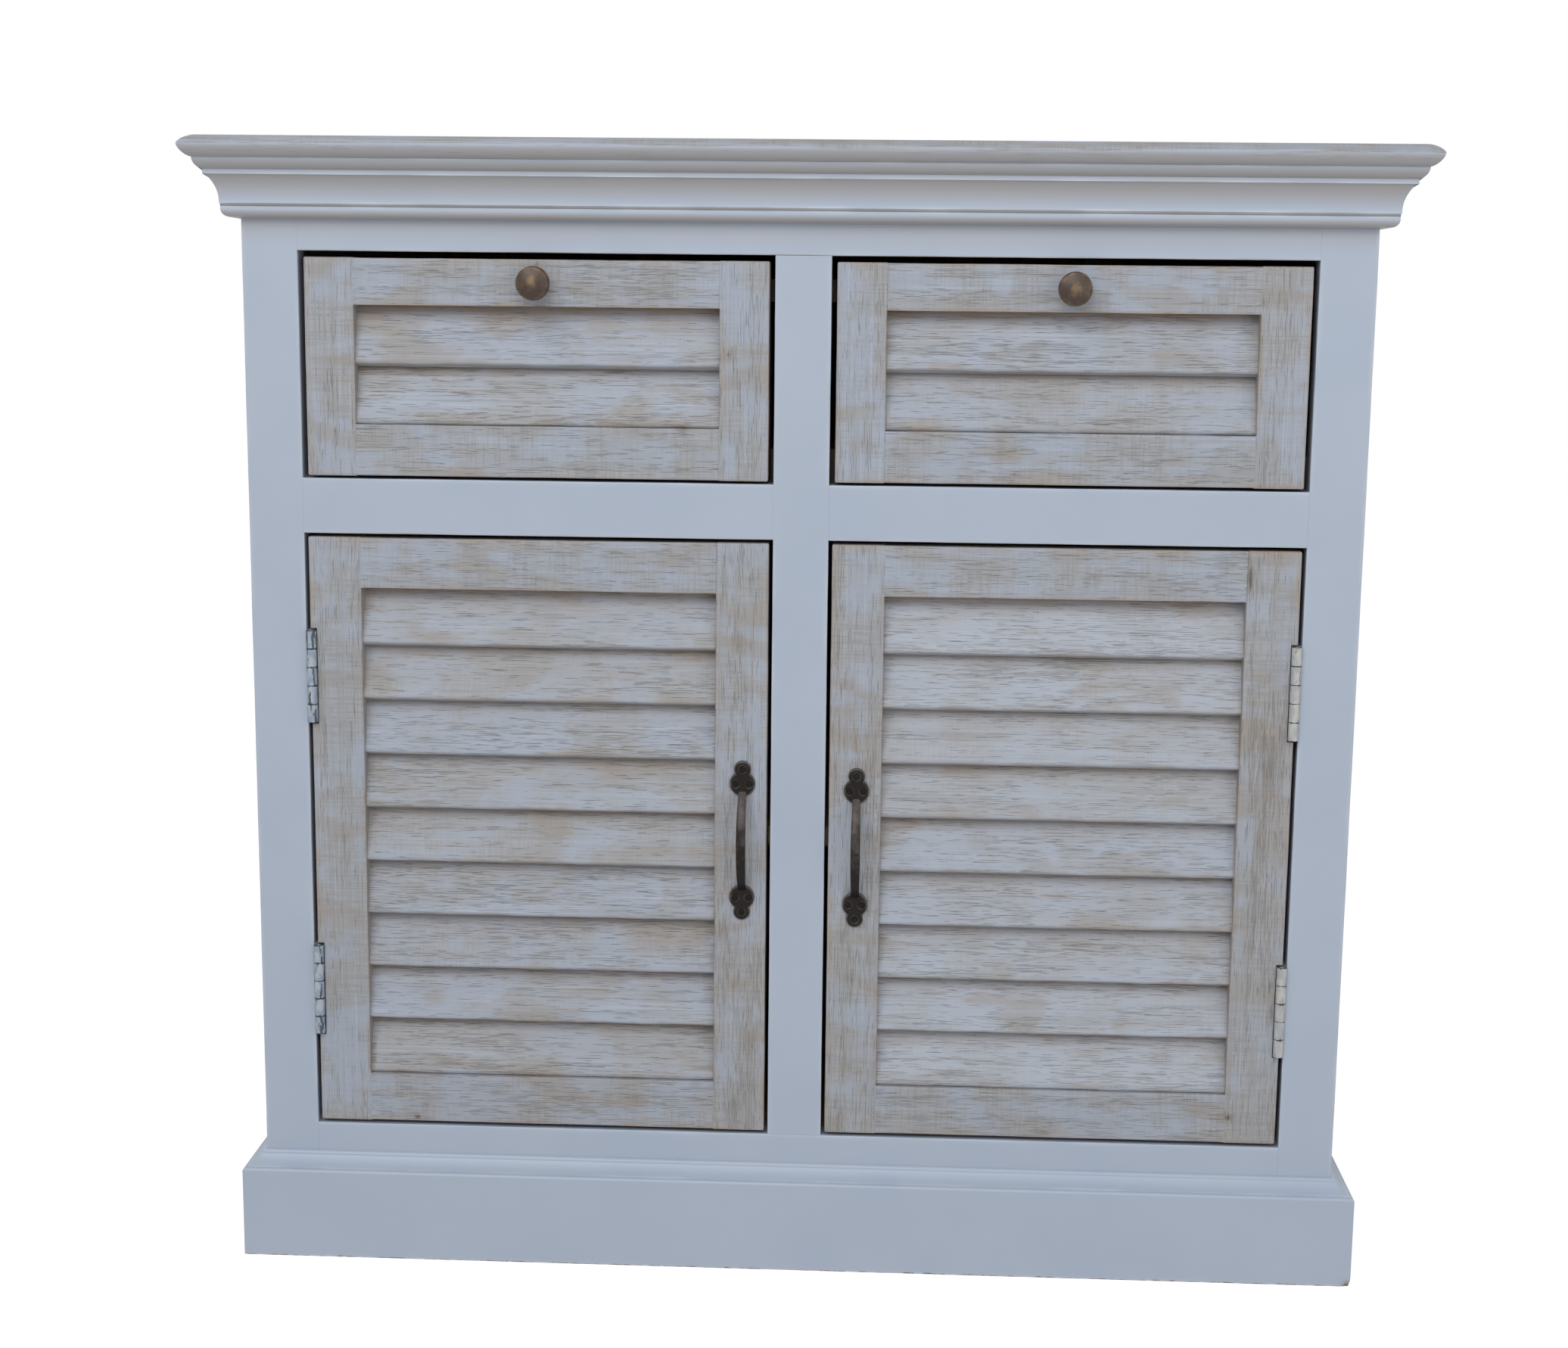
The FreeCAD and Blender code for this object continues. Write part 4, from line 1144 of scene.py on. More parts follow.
@dataclass
class Leaf:
    """The louvred frame of a door or a drawer front.

    Args:
        side: the half of the cabinet that it is in.
        kind: door or drawer.
        louvre_count: how many louvres it has.
        seed: where its boards' seeds start.
        marks: rows of spots of stain on its face, each as a Mark takes them.
        openings: for a stile, how far its seam with the top rail gapes at both ends.
        housing: how far a louvre runs into its stiles.
        arris: how far its outer edges are rounded.
        inner: how far the edges around the louvres are rounded.
        chalky: how white the wash is on the louvre in the middle; twice that at both ends.
        margin: how far from the leaf's edges its inner edges start.
        rubbed: the wear of its outer edges, as a thin line and a broad one, and of the
            edges around the louvres.
        crevice: the soiling in those edges.
        dirty_side: the least painted shade on what doesn't face the front or the back, in the
            gaps around the boards.
        rest: how far the lowest louvre comes down on the bottom rail.
        tints: how far the warmth of the wash varies between boards and between louvres.
        rough: how rough the wash is on the middle louvre, and how far that varies.
    """

    side: Side
    kind: str = "leaf"
    louvre_count: int = 1
    seed: int = 0
    marks: tuple[tuple[float, ...], ...] = ()
    openings: dict[str, Pair] = field(default_factory=dict)
    housing: float = 0.4 * MM
    arris: float = 1.3 * MM
    inner: float = 0.6 * MM
    chalky: float = 0.08
    margin: float = 20 * MM
    rubbed: tuple[Fade, Fade, Fade] = (Fade(0.7, 1.2 * MM), Fade(0.16, 7 * MM), Fade(0.3, MM))
    crevice: Fade = Fade(0.18, 2.5 * MM)
    dirty_side: float = 0.1
    rest: float = 3 * MM
    tints: Pair = (0.12, 0.4)
    rough: Pair = (0.55, 0.45)

    @property
    def name(self) -> str:
        """The name of its body, with which its pieces' names start."""
        return f"{self.side.word}_{self.kind}"

    def corners(self) -> Box:
        """The lowest and highest corners of the whole frame."""
        raise NotImplementedError

    def vary(self, seed: int, spread: float) -> float:
        """How far one board's wash is from the usual, between -spread and spread."""
        return float(np.random.default_rng(seed).uniform(-spread, spread))

    def stain(self, points: np.ndarray) -> np.ndarray:
        """The marks' strength at each point."""
        return sum((Mark(*row).at(points) for row in self.marks), np.zeros(len(points)))

    def finish_board(self, name: str, board: Board, *nodes: str) -> None:
        """Makes one board of the frame, with the wear that its place on the leaf gives it.

        The wash is rubbed off the outer edges in a thin line and a faint broad one, less so
        off the edges around the louvres, and soiling lies behind those; painted shade lies on
        the boards' sides in the gaps.

        Args:
            name: the piece's name after the leaf's own.
            board: the board.
            nodes: the nodes that it stands for.
        """
        surface = board.surface()
        low, high = self.corners()
        points, arris = surface.points, surface.values.pop("arris")
        deep = (points[:, 1] - low[1]).clip(0)
        near = np.minimum.reduce([points[:, 0] - low[0], high[0] - points[:, 0],
                                  points[:, 2] - low[2], high[2] - points[:, 2]]).clip(0)
        wave, slow = wave_of(points, board.seed), wave_of(points, board.seed + 9, 0.3)
        outer, inside = np.hypot(deep, near), near > self.margin
        line, broad, around = self.rubbed
        surface.values["rub"] = (line.at(outer, wave) + slow * broad.at(outer)
                                 + inside * wave * around.at(arris)).clip(0, 1)
        back = (high[1] - points[:, 1]) > MM
        crack = self.crevice if name != "bottom_rail" else Fade(0.0, MM)
        # painted shade on the boards' sides in the gaps, and soiling along the edges around the
        # louvres
        surface.values["grime"] = np.where(
            (deep > 1.5 * MM) & back, self.dirty_side + crack.strength,
            inside * back * slow * crack.at(arris)).clip(0, 0.7)
        surface.values["stain"] = self.stain(points)
        surface.values["tint"] = np.full(len(points), self.vary(board.seed, self.tints[0]))
        make_piece(f"{self.name}_{name}", surface, WASHED, self.name, *nodes)

    def finish_louvres(self, node: str, ends: Pair) -> None:
        """Makes the louvres at the pitch that their node gives.

        Args:
            node: the node that holds all of them.
            ends: the stiles' inner faces.
        """
        low, high = node_box(node)
        nose = LouvreSlat.thickness * math.sin(LouvreSlat.tilt)
        rise = (high[2] - low[2] - nose) / self.louvre_count
        for number in range(self.louvre_count):
            seed = self.seed + 10 + number
            surface = LouvreSlat((ends[0] - self.housing, ends[1] + self.housing), low[1],
                                 low[2] + number * rise, rise, seed,
                                 drop=0.0 if number else self.rest).surface()
            surface.values["stain"] = self.stain(surface.points)
            place = 2 * number / (self.louvre_count - 1) - 1
            for key, value in (("tint", self.vary(seed, self.tints[1])),
                               ("rough", self.rough[0] + self.vary(seed + 50, self.rough[1])),
                               ("pale", self.chalky * (1 + place ** 2))):
                surface.values[key] = np.full(len(surface.points), value)
            make_piece(f"{self.name}_louvre_{self.louvre_count - number}", surface, WASHED,
                       self.name, node)

    def frame_boards(self, outer: Pair, inner: Pair, levels: tuple[float, ...],
                     depth: Pair) -> dict[str, Board]:
        """The four boards of the frame, with stiles that run its whole height.

        Args:
            outer: the X of the stiles' outer faces, lower first.
            inner: the X of their inner faces.
            levels: the Z of the bottom, of the lower rail's top, of the upper rail's
                underside and of the top.
            depth: the Y of the front and of the back.

        Returns:
            The boards by the names low_stile, high_stile, bottom_rail and top_rail.
        """
        wide, fine, flush = self.arris, self.inner, (0.0, 0.0)
        bottom, lower, upper, top = levels
        boards = {}
        for number, (name, across, rise, grain, sides, ends) in enumerate((
                ("low_stile", (outer[0], inner[0]), (bottom, top), Axis.Z, (wide, fine),
                 (wide, wide)),
                ("high_stile", (inner[1], outer[1]), (bottom, top), Axis.Z, (fine, wide),
                 (wide, wide)),
                ("bottom_rail", inner, (bottom, lower), Axis.X, flush, (wide, fine)),
                ("top_rail", inner, (upper, top), Axis.X, flush, (fine, wide)))):
            boards[name] = Board((across, depth, rise), grain, self.seed + number,
                                 (sides, (wide, wide), ends), bow_seed=self.seed)
        for name, side in (("low_stile", 1), ("high_stile", -1)):
            boards[name].butts = (Butt(side, (bottom, lower)),
                                  Butt(side, (upper, top), self.openings.get(name, flush)))
        return boards


@dataclass
class Knuckles:
    """The painted knuckles of one hinge that belong to one of its two leaves.

    Args:
        axis: the X and Y of the pin.
        span: the Z of the hinge's lower and upper end.
        numbers: which of the five knuckles they are, counted from below.
        seed: sets the coat's unevenness.
        radius: the radius of the coat.
        coat: how far the coat's thickness varies.
        gap: how far the ends of two knuckles are apart.
        total: how many knuckles the hinge has.
        bend: the radius of the rounding at a knuckle's ends.
        chipped: how the coat is chipped from a knuckle's ends, which also lays painted shade
            where the knuckles meet.
        crack: where a dark line of painted shade runs up the coat, as an angle from straight
            ahead to the right, half its width as an angle, and how dark it is.
    """

    axis: Pair
    span: Pair
    numbers: tuple[int, ...]
    seed: int
    radius: float = 4.2 * MM
    coat: float = 0.05 * MM
    gap: float = 0.25 * MM
    total: int = 5
    bend: float = 0.6 * MM
    chipped: Fade = Fade(0.32, 0.4 * MM)
    crack: Size = (0.0, 0.1, 0.0)

    def surface(self) -> Surface:
        """The knuckles as turned drums whose radius wavers along and around them.

        Returns:
            The drums as shells of one surface, with the value named seam.
        """
        drums = [self.drum(number) for number in self.numbers]
        whole = drums[0]
        for drum in drums[1:]:
            whole = whole.joined(drum)
        return whole

    def drum(self, number: int) -> Surface:
        """One knuckle: a circle carried up, drawn in at both ends by a quarter round.

        Args:
            number: which one it is, counted from below.

        Returns:
            The knuckle, with a value named seam where its coat is chipped and where painted shade
            is laid.
        """
        pitch = (self.span[1] - self.span[0]) / self.total
        low = self.span[0] + number * pitch + self.gap / 2
        length, seed = pitch - self.gap, self.seed + number
        turn = np.linspace(0, np.pi / 2, 4)
        rise, inset = self.bend * (1 - np.cos(turn)), self.bend * (np.sin(turn) - 1)
        body = np.linspace(self.bend, length - self.bend, 16)[1:-1]
        profile = np.stack((low + np.concatenate((rise, body, length - rise[::-1])),
                            self.radius + np.concatenate((inset, 0 * body, inset[::-1]))), 1)
        rings = turned(profile, (*self.axis, 0), upright=True, around=28)
        offset = rings[..., :2] - self.axis
        angle = np.arctan2(offset[..., 1], offset[..., 0])
        uneven = ripple(rings[..., 2], 0.012, seed) * np.cos(2 * angle + seed)
        rings[..., :2] += offset * (self.coat * uneven / self.radius)[..., None]
        surface = skin(rings)
        height = surface.points[:, 2]
        end = np.minimum(height - low, low + length - height).clip(0)
        offset = surface.points[:, :2] - self.axis
        # chips and painted shade at both ends where the knuckles meet, and a dark line up one
        # side: painted shade beside the door's stile on the cabinet's knuckles
        where, width, depth = self.crack
        away = np.arctan2(offset[:, 0], -offset[:, 1]) - where + 0.12 * ripple(height, 0.02, seed)
        surface.values = {"seam": np.maximum(self.chipped.at(end),
                                             Fade(depth, width).bell(away))}
        return surface


@dataclass
class PullHandle:
    """A bowed iron strap between two plates, each an eye with a smaller lobe.

    Args:
        middle: the middle of the handle on the stile's face.
        reach: how far the whole handle stands out.
        eye: the radius of a plate's eye and how far it is from the middle.
        lobe: the radius of its lobe and how far that is from the middle.
        holes: places of the screw holes on the upper plate, across and from the middle.
        heart: how far from the middle the point is that its border is drawn around.
        arc: the radius of the strap's curve.
        bow: how far its centre line stands out.
        edge: the height of a plate's edge.
        crown: how far the plate rises over it, and round_width over which breadth.
        hole_radius: the radius of a screw hole, and hole_depth how deep its cone is.
        waist: how softly the eye and the lobe run into each other.
        patina: how far its plates are from wearing through.
        rim: the painted highlight along its rim.
        ring: the painted highlight around its holes.
    """

    middle: np.ndarray
    reach: float = 24 * MM
    eye: Pair = (10.6 * MM, 48 * MM)
    lobe: Pair = (7.0 * MM, 60.4 * MM)
    holes: tuple[Pair, ...] = ((0, 60.4 * MM), (-5.6 * MM, 48 * MM), (5.6 * MM, 48 * MM))
    heart: float = 54 * MM
    arc: float = 50.95 * MM
    bow: float = 20.7 * MM
    edge: float = 0.9 * MM
    crown: float = 1.9 * MM
    round_width: float = 3.6 * MM
    hole_radius: float = 3.3 * MM
    hole_depth: float = 1.6 * MM
    waist: float = 0.5 * MM
    patina: float = -0.2
    rim: Fade = Fade(0.9, 0.7 * MM)
    ring: Fade = Fade(0.55, 0.5 * MM)

    def surface(self) -> Surface:
        """The strap and both plates as three shells."""
        return self.strap().joined(self.plate(1)).joined(self.plate(-1))

    def plate(self, up: int) -> Surface:
        """One plate, as rays from its heart, a point between its eye and its lobe.

        A ray ends where it leaves the farther of the two circles, with the waist between
        them smoothed. The height rises from the edge as a quarter ellipse, and falls into a
        cone at each screw hole.

        Args:
            up: 1 for the upper plate and -1 for the lower one.

        Returns:
            The plate, closed by its back.
        """
        centre = self.heart
        ray = circle(144).T
        exits = []
        for radius, place in (self.eye, self.lobe):
            offset = np.array((0.0, up * (place - centre)))
            reach = ray @ offset
            exits.append(reach + np.sqrt((reach ** 2 - offset @ offset + radius ** 2).clip(0)))
        border = np.logaddexp(*(part / self.waist for part in exits)) * self.waist - 0.1 * MM
        shares = np.concatenate(((1, 1), np.sqrt(np.linspace(1, 0, 40)[1:-1])))
        flat = border[None, :, None] * shares[:, None, None] * ray[None]
        gap = border[None] * (1 - shares[:, None])
        height = self.edge + self.crown * np.sqrt(
            1 - (1 - (gap / self.round_width).clip(0, 1)) ** 2)
        # painted highlight along the rim
        rub = self.patina + self.rim.bell(gap - 0.5 * MM)
        for across, place in self.holes:
            past = (np.linalg.norm(flat - (across, up * (place - centre)), axis=-1)
                    - self.hole_radius)
            height -= self.hole_depth * (-past / (0.9 * MM)).clip(0, 1)
            # painted shade inside each hole, and a painted highlight round it
            rub += np.where(past < -0.6 * MM, -1.0, self.ring.bell(past))
        height[0] = 0
        surface = skin(points_at(self.middle[0] + flat[..., 0], self.middle[1] - height,
                                 self.middle[2] + up * centre + flat[..., 1]))
        surface.values = {"rub": np.append(rub, (0.0, -0.3))}
        return surface

    def strap(self) -> Surface:
        """The strap: a flattened oval carried along an arc, widest in the middle.

        The oval's points are the cosine and sine of equal angles raised to two thirds, so
        that it has a broad flat front. Its half width falls from the middle to the roots
        and flares where they meet the plates.

        Returns:
            The strap, lighter towards its upper end: a painted highlight where it faces up.
        """
        last = math.acos((self.arc - self.bow) / self.arc)
        turn = np.linspace(-last, last, 72)
        out = self.arc * np.cos(turn) - (self.arc - self.bow)
        up = self.arc * np.sin(turn)
        belly = np.cos(turn / last * np.pi / 2)
        half = (3.15 + 0.75 * belly) * MM + Fade(0.9 * MM, 1.6 * MM).at(out)
        thick = (self.reach - self.bow) * (0.72 + 0.2 * belly)
        wide, deep = (np.sign(part) * np.abs(part) ** (2 / 3) for part in circle(32))
        radial = np.multiply.outer(thick, deep)
        rings = points_at(self.middle[0] + np.multiply.outer(half, wide),
                          self.middle[1] - out[:, None] + radial * np.cos(turn)[:, None],
                          self.middle[2] + up[:, None] - radial * np.sin(turn)[:, None])
        surface = skin(rings)
        height = (surface.points[:, 2] - self.middle[2]) / up[-1]
        # painted highlight: lighter towards the top, where the strap faces up
        surface.values = {"rub": 0.12 + 0.42 * height}
        return surface


@dataclass
class TurnedKnob:
    """A brass knob: a foot, a neck, a flared rim and a domed face on a low wall.

    Args:
        middle: the middle of its foot on the rail's face.
        outline: rows of how far in front of the face, and the radius, in millimetres.
        dome: the radius of the face's edge, where its dome starts and how high it rises,
            in millimetres.
        wall: where the wall behind the face starts and ends; it is painted dark as shade.
    """

    middle: np.ndarray
    outline: tuple[Pair, ...] = (
        (-22, 2.5), (0, 2.5), (0, 8), (1.6, 8), (2, 7.6), (2.2, 5.6), (2.8, 5.1), (6, 5),
        (8, 5.4), (10, 6.8), (11.4, 9.2), (12.3, 11.6), (12.8, 12.9), (13.2, 13.4),
        (13.7, 13.5), (14.1, 13.4), (14.4, 13.1), (14.6, 12.6), (14.9, 12.3), (17.5, 12.2),
        (20.2, 12.5), (20.5, 12.8), (20.8, 12.9), (21.1, 12.7))
    dome: Size = (12.7, 21.1, 2.9)
    wall: Pair = (14.7 * MM, 20.4 * MM)

    def surface(self) -> Surface:
        """The outline turned about an axis that points to the front.

        The face follows after the outline: its height over the edge is the dome's rise times
        one less the squared share of the radius.

        Returns:
            The knob, rubbed and given a painted highlight in the middle of its face, a painted
            highlight on the face's edge, and painted shade on its wall.
        """
        edge, start, rise = self.dome
        radius = edge * np.linspace(1, 0, 26)[1:-1]
        face = np.stack((start + rise * (1 - (radius / edge) ** 2), radius), 1)
        profile = np.concatenate((self.outline, face)) * MM
        surface = skin(turned(profile, self.middle, upright=False, around=96))
        out = self.middle[1] - surface.points[:, 1]
        across = np.hypot(surface.points[:, 0] - self.middle[0],
                          surface.points[:, 2] - self.middle[2])
        # wear with a painted highlight in the middle of the face, and a painted highlight on its
        # edge
        face_rub_and_highlight = (Fade(0.42, 5 * MM).bell(across)
                     + Fade(0.3, MM).at(((edge + 0.1) * MM - across).clip(0)))
        # painted shade: the wall behind the face is darkened
        wall = (out > self.wall[0]) & (out < self.wall[1])
        surface.values = {"rub": np.where(out > 20 * MM, face_rub_and_highlight,
                                          np.where(wall, -0.8, 0.2))}
        return surface


@dataclass
class Door(Leaf):
    """A louvred door with its pull handle, its hinge leaves and their painted knuckles.

    Args:
        notch_width: how far the housing of a hinge barrel reaches in.
        notch_depth: how deep it is.
        notch_end: how far it is longer than the hinge at each end.
        coat: the finish of the hinges.
        cracks: the dark lines up the coat of the cabinet's and of the door's knuckles: painted
            shade beside the door's stile on the cabinet's, and a thin dark streak on the door's.
    """

    kind: str = "door"
    louvre_count: int = 9
    notch_width: float = 5.7 * MM
    notch_depth: float = 6 * MM
    notch_end: float = 1.2 * MM
    coat: Finish = HINGE
    cracks: tuple[Size, ...] = ((0.6, 0.2, 0.3), (-0.5, 0.07, 0.2))

    def corners(self) -> Box:
        """The lowest and highest corners of the whole frame."""
        boxes = [node_box(f"{self.name}_stile_{word}") for word in ("hinge", "lock")]
        return (np.minimum(boxes[0][0], boxes[1][0]), np.maximum(boxes[0][1], boxes[1][1]))

    def build(self) -> None:
        """Makes the frame's boards and the louvres, and the hardware."""
        low, high = self.corners()
        order = -self.side.value  # the hinge stile is the low one of the left door
        left, right = [node_box(f"{self.name}_stile_{word}")
                       for word in ("hinge", "lock")][::order]
        inner = (left[1][0], right[0][0])
        levels = (low[2], node_box(f"{self.name}_rail_bottom")[1][2],
                  node_box(f"{self.name}_rail_top")[0][2], high[2])
        boards = self.frame_boards((low[0], high[0]), inner, levels, (low[1], high[1]))
        boards["hinge_stile"], boards["lock_stile"] = (
            boards["low_stile"], boards["high_stile"])[::order]
        boards["hinge_stile"].notches = tuple(
            Notch(self.side.value, self.notch_width, self.notch_depth,
                  (span[0] - self.notch_end, span[1] + self.notch_end))
            for span in self.hinge_spans())
        for name in ("hinge_stile", "lock_stile", "bottom_rail", "top_rail"):
            end, kind = name.split("_")
            self.finish_board(name, boards[name], f"{self.name}_{kind}_{end}")
        self.finish_louvres(f"{self.name}_louvres", inner)
        grip_low, grip_high = node_box(f"{self.name}_handle")
        middle = (grip_low + grip_high) / 2
        middle[1] = grip_high[1]
        pull = PullHandle(middle, reach=grip_high[1] - grip_low[1])
        make_piece(f"{self.name}_pull", pull.surface(), IRON, self.name,
                   f"{self.name}_handle")
        self.finish_hinges()
        STEEL.dress(f"{self.name}_fixings")

    def finish_hinges(self) -> None:
        """Makes each hinge's coats: knuckles 1, 3 and 5 on the cabinet, 2 and 4 on the door."""
        self.coat.dress(f"{self.name}_hinge_leaves")
        joint = next(j for j in frame["joints"] if j["child"] == self.name)
        axis = tuple(joint["pos_m"][:2])
        for level, span in zip(("lower", "upper"), self.hinge_spans()):
            for owner, body, numbers, crack in (
                    ("frame", "cabinet", (0, 2, 4), self.cracks[0]),
                    ("leaf", self.name, (1, 3), self.cracks[1])):
                coats = Knuckles(axis, span, numbers, self.seed + 40, crack=crack)
                make_piece(f"{self.name}_{level}_hinge_{owner}_knuckles", coats.surface(),
                           self.coat, body)

    def hinge_spans(self) -> tuple[Pair, ...]:
        """Where the hinges are, as their leaves' points say.

        Returns:
            The lower and upper end of the lower hinge and of the upper one.
        """
        heights = np.array([v.co.z for v in
                            frame["nodes"][f"{self.name}_hinge_leaves"].data.vertices])
        middle = (heights.min() + heights.max()) / 2
        return tuple((part.min(), part.max()) for part in
                     (heights[heights < middle], heights[heights > middle]))


@dataclass
class DrawerFront(Leaf):
    """A louvred drawer front with its knob, and the box behind it.

    Args:
        stile_width: the width of its stiles.
        bottom_rail: the height of its lower rail.
        top_rail: the height of its upper rail.
        knob_reach: how far the knob stands out.
    """

    kind: str = "drawer"
    louvre_count: int = 2
    stile_width: float = 40 * MM
    bottom_rail: float = 41.5 * MM
    top_rail: float = 37.5 * MM
    knob_reach: float = 24 * MM

    def corners(self) -> Box:
        """The lowest and highest corners of the whole frame."""
        return node_box(f"{self.name}_front_stiles")

    def build(self) -> None:
        """Makes the front's boards, louvres and knob, and dresses the box."""
        low, high = self.corners()
        inner = (low[0] + self.stile_width, high[0] - self.stile_width)
        levels = (low[2], low[2] + self.bottom_rail, high[2] - self.top_rail, high[2])
        boards = self.frame_boards((low[0], high[0]), inner, levels, (low[1], high[1]))
        for word, name in (("low_stile", "left_stile"), ("high_stile", "right_stile"),
                           ("bottom_rail", "bottom_rail"), ("top_rail", "top_rail")):
            self.finish_board(name, boards[word],
                              f"{self.name}_front_{name.split('_')[1]}s")
        self.finish_louvres(f"{self.name}_louvres", inner)
        INNER.dress(*(f"{self.name}_box_{word}" for word in ("sides", "front", "back",
                                                            "bottom")))
        knob_low, knob_high = node_box(f"{self.name}_knob")
        middle = (knob_low + knob_high) / 2
        middle[1] = knob_low[1] + self.knob_reach
        make_piece(f"{self.name}_pull", TurnedKnob(middle).surface(), BRASS, self.name,
                   f"{self.name}_knob")


@dataclass
class FaceFrame:
    """The painted frame around the doors and drawers.

    Args:
        seed: where its boards' seeds start.
        arris: how far its edges are rounded where hands and leaves pass.
        bow: how far its face wanders from flat.
        wander: how far its edges wander from straight.
        rubbed: how the coat is rubbed thin on its edges and painted lighter there, as wear and a
            painted highlight.
        dirty: the painted shade on what looks into the openings.
    """

    seed: int = 500
    arris: float = 0.9 * MM
    bow: float = 0.15 * MM
    wander: float = 0.15 * MM
    rubbed: Fade = Fade(0.8, 0.8 * MM)
    dirty: float = 0.25

    def build(self) -> None:
        """Makes three stiles and four rails, between the shoulders of their tenons."""
        left, centre, right = (np.array(node_box(f"face_stile_{word}")).T
                               for word in ("left", "centre", "right"))
        rises = {word: tuple(np.array(node_box(f"face_rail_{word}"))[:, 2])
                 for word in ("bottom", "top", "middle_left", "middle_right")}
        ends = {"bottom": (left[0, 1], right[0, 0]), "top": (left[0, 1], right[0, 0]),
                "middle_left": (left[0, 1], centre[0, 0]),
                "middle_right": (centre[0, 1], right[0, 0])}
        centre[2] = rises["bottom"][1], rises["top"][0]
        for word, box, butts in (
                ("left", left, ((1, "bottom"), (1, "middle_left"), (1, "top"))),
                ("right", right, ((-1, "bottom"), (-1, "middle_right"), (-1, "top"))),
                ("centre", centre, ((-1, "middle_left"), (1, "middle_right")))):
            self.board(f"{word}_stile", (tuple(box[0]), tuple(left[1]), tuple(box[2])), Axis.Z,
                       f"face_stile_{word}", (Butt(side, rises[rail]) for side, rail in butts))
        for word, across in ends.items():
            self.board(f"{word}_rail", (across, tuple(left[1]), rises[word]), Axis.X,
                       f"face_rail_{word}")

    def board(self, name: str, spans: Spans, grain: Axis, node: str,
              butts: Iterable[Butt] = ()) -> None:
        """Makes one board whose coat is rubbed thin and painted lighter along its open front
        edges, with painted shade in its jambs.

        Args:
            name: the piece's name after the frame's own.
            spans: where it starts and ends along X, Y and Z.
            grain: the direction of its fibres.
            node: the node that it stands for.
            butts: where rails meet its edges.
        """
        self.seed += 1
        eases = [(self.arris, self.arris)] * 3
        eases[grain.value] = (0.0, 0.0)
        surface = Board(spans, grain, self.seed, tuple(eases), bow=self.bow, bow_seed=500,
                        wander=self.wander, butts=tuple(butts)).surface()
        points, arris = surface.points, surface.values.pop("arris")
        # wear and a painted highlight along the open front edges
        surface.values["rub"] = self.rubbed.at(arris, wave_of(points, self.seed))
        # painted shade on the jambs that look into the openings, growing from 1.5 mm behind the
        # front
        deep = (points[:, 1] - spans[1][0] - 1.5 * MM) / (3 * MM)
        inside = np.abs(points[:, 0]) < node_box("face_stile_right")[1][0] - MM
        surface.values["grime"] = self.dirty * inside * deep.clip(0, 1)
        make_piece(f"frame_{name}", surface, BODY, "cabinet", node)


@dataclass
class TopBoard:
    """The board on top, whose front and ends come to a nose.

    Args:
        drop: how far the nose is below the top.
        run: how far in from the nose the rounding above it starts.
        undercut: how far in the rounding below it ends.
        raised: how far the underside is above the node's.
        power: the power of both roundings: 1 is a straight slope and 2 an ellipse.
        back: the rounding of the back edges.
        step: the spacing of its points.
        grain: how far along the pattern of grain it is read, in metres.
        tint: how much warmer its wash is than usual.
        worn: how far the wash is worn to the wood on the left, and how much more so on the
            right.
    """

    drop: float = 7.2 * MM
    run: float = 11.6 * MM
    undercut: float = 9.4 * MM
    raised: float = 0.9 * MM
    power: float = 1.55
    back: float = 0.8 * MM
    step: float = 5 * MM
    grain: float = 600.0
    tint: float = 0.35
    worn: Pair = (0.6, 0.6)

    def build(self) -> None:
        """Makes the board as sections that follow each other along X.

        A point's height depends on its distance from the nearest of the three noses. Above
        and below the nose it follows a superellipse: the remaining shares of run and of
        height, each raised to the power, add up to 1. The back edges are quarter rounds.
        The wash is worn through above the nose, and more so towards the right.
        """
        low, high = node_box("top_board")
        low[2] += self.raised
        near = self.run * (1 - np.cos(np.linspace(0, np.pi / 2, 14)))
        near = np.unique(np.append(near, self.undercut))
        end = self.back * (1 - np.cos(np.linspace(0, np.pi / 2, 6)))
        width = np.arange(low[0] + self.run, high[0] - self.run, self.step)[1:]
        depth = np.arange(low[1] + self.run, high[1] - self.back, self.step)[1:]
        start = np.maximum(near, 0.03 * MM)
        along = np.concatenate((low[0] + start, width, high[0] - start[::-1]))
        across = np.concatenate((low[1] + near, depth, high[1] - end[::-1]))
        inset = np.minimum(np.minimum(along - low[0], high[0] - along)[:, None],
                           (across - low[1])[None])
        nose = high[2] - self.drop
        power = self.power
        above = nose + self.drop * (1 - (1 - inset / self.run).clip(0) ** power) ** (1 / power)
        below = nose - (nose - low[2]) * (
            1 - (1 - inset / self.undercut).clip(0) ** power) ** (1 / power)
        corner = self.back * (1 - np.sqrt(
            1 - (1 - (high[1] - across) / self.back).clip(0) ** 2))
        above, below = np.maximum(above - corner, nose), np.minimum(below + corner, nose)
        surface = skin(points_at(along[:, None], np.concatenate((across, across[:0:-1])),
                                 np.concatenate((below, above[:, :0:-1]), 1)))
        points = surface.points
        right = (points[:, 0] - low[0]) / (high[0] - low[0])
        above_nose = ((points[:, 2] - nose + MM) / (4 * MM)).clip(0, 1)
        surface.values = {
            "grain": points + (self.grain, 0, 0),
            "bare": above_nose * (self.worn[0] + self.worn[1] * right),
            "tint": np.full(len(points), self.tint),
        }
        make_piece("top_plank", surface, TOP, "cabinet", "top_board")


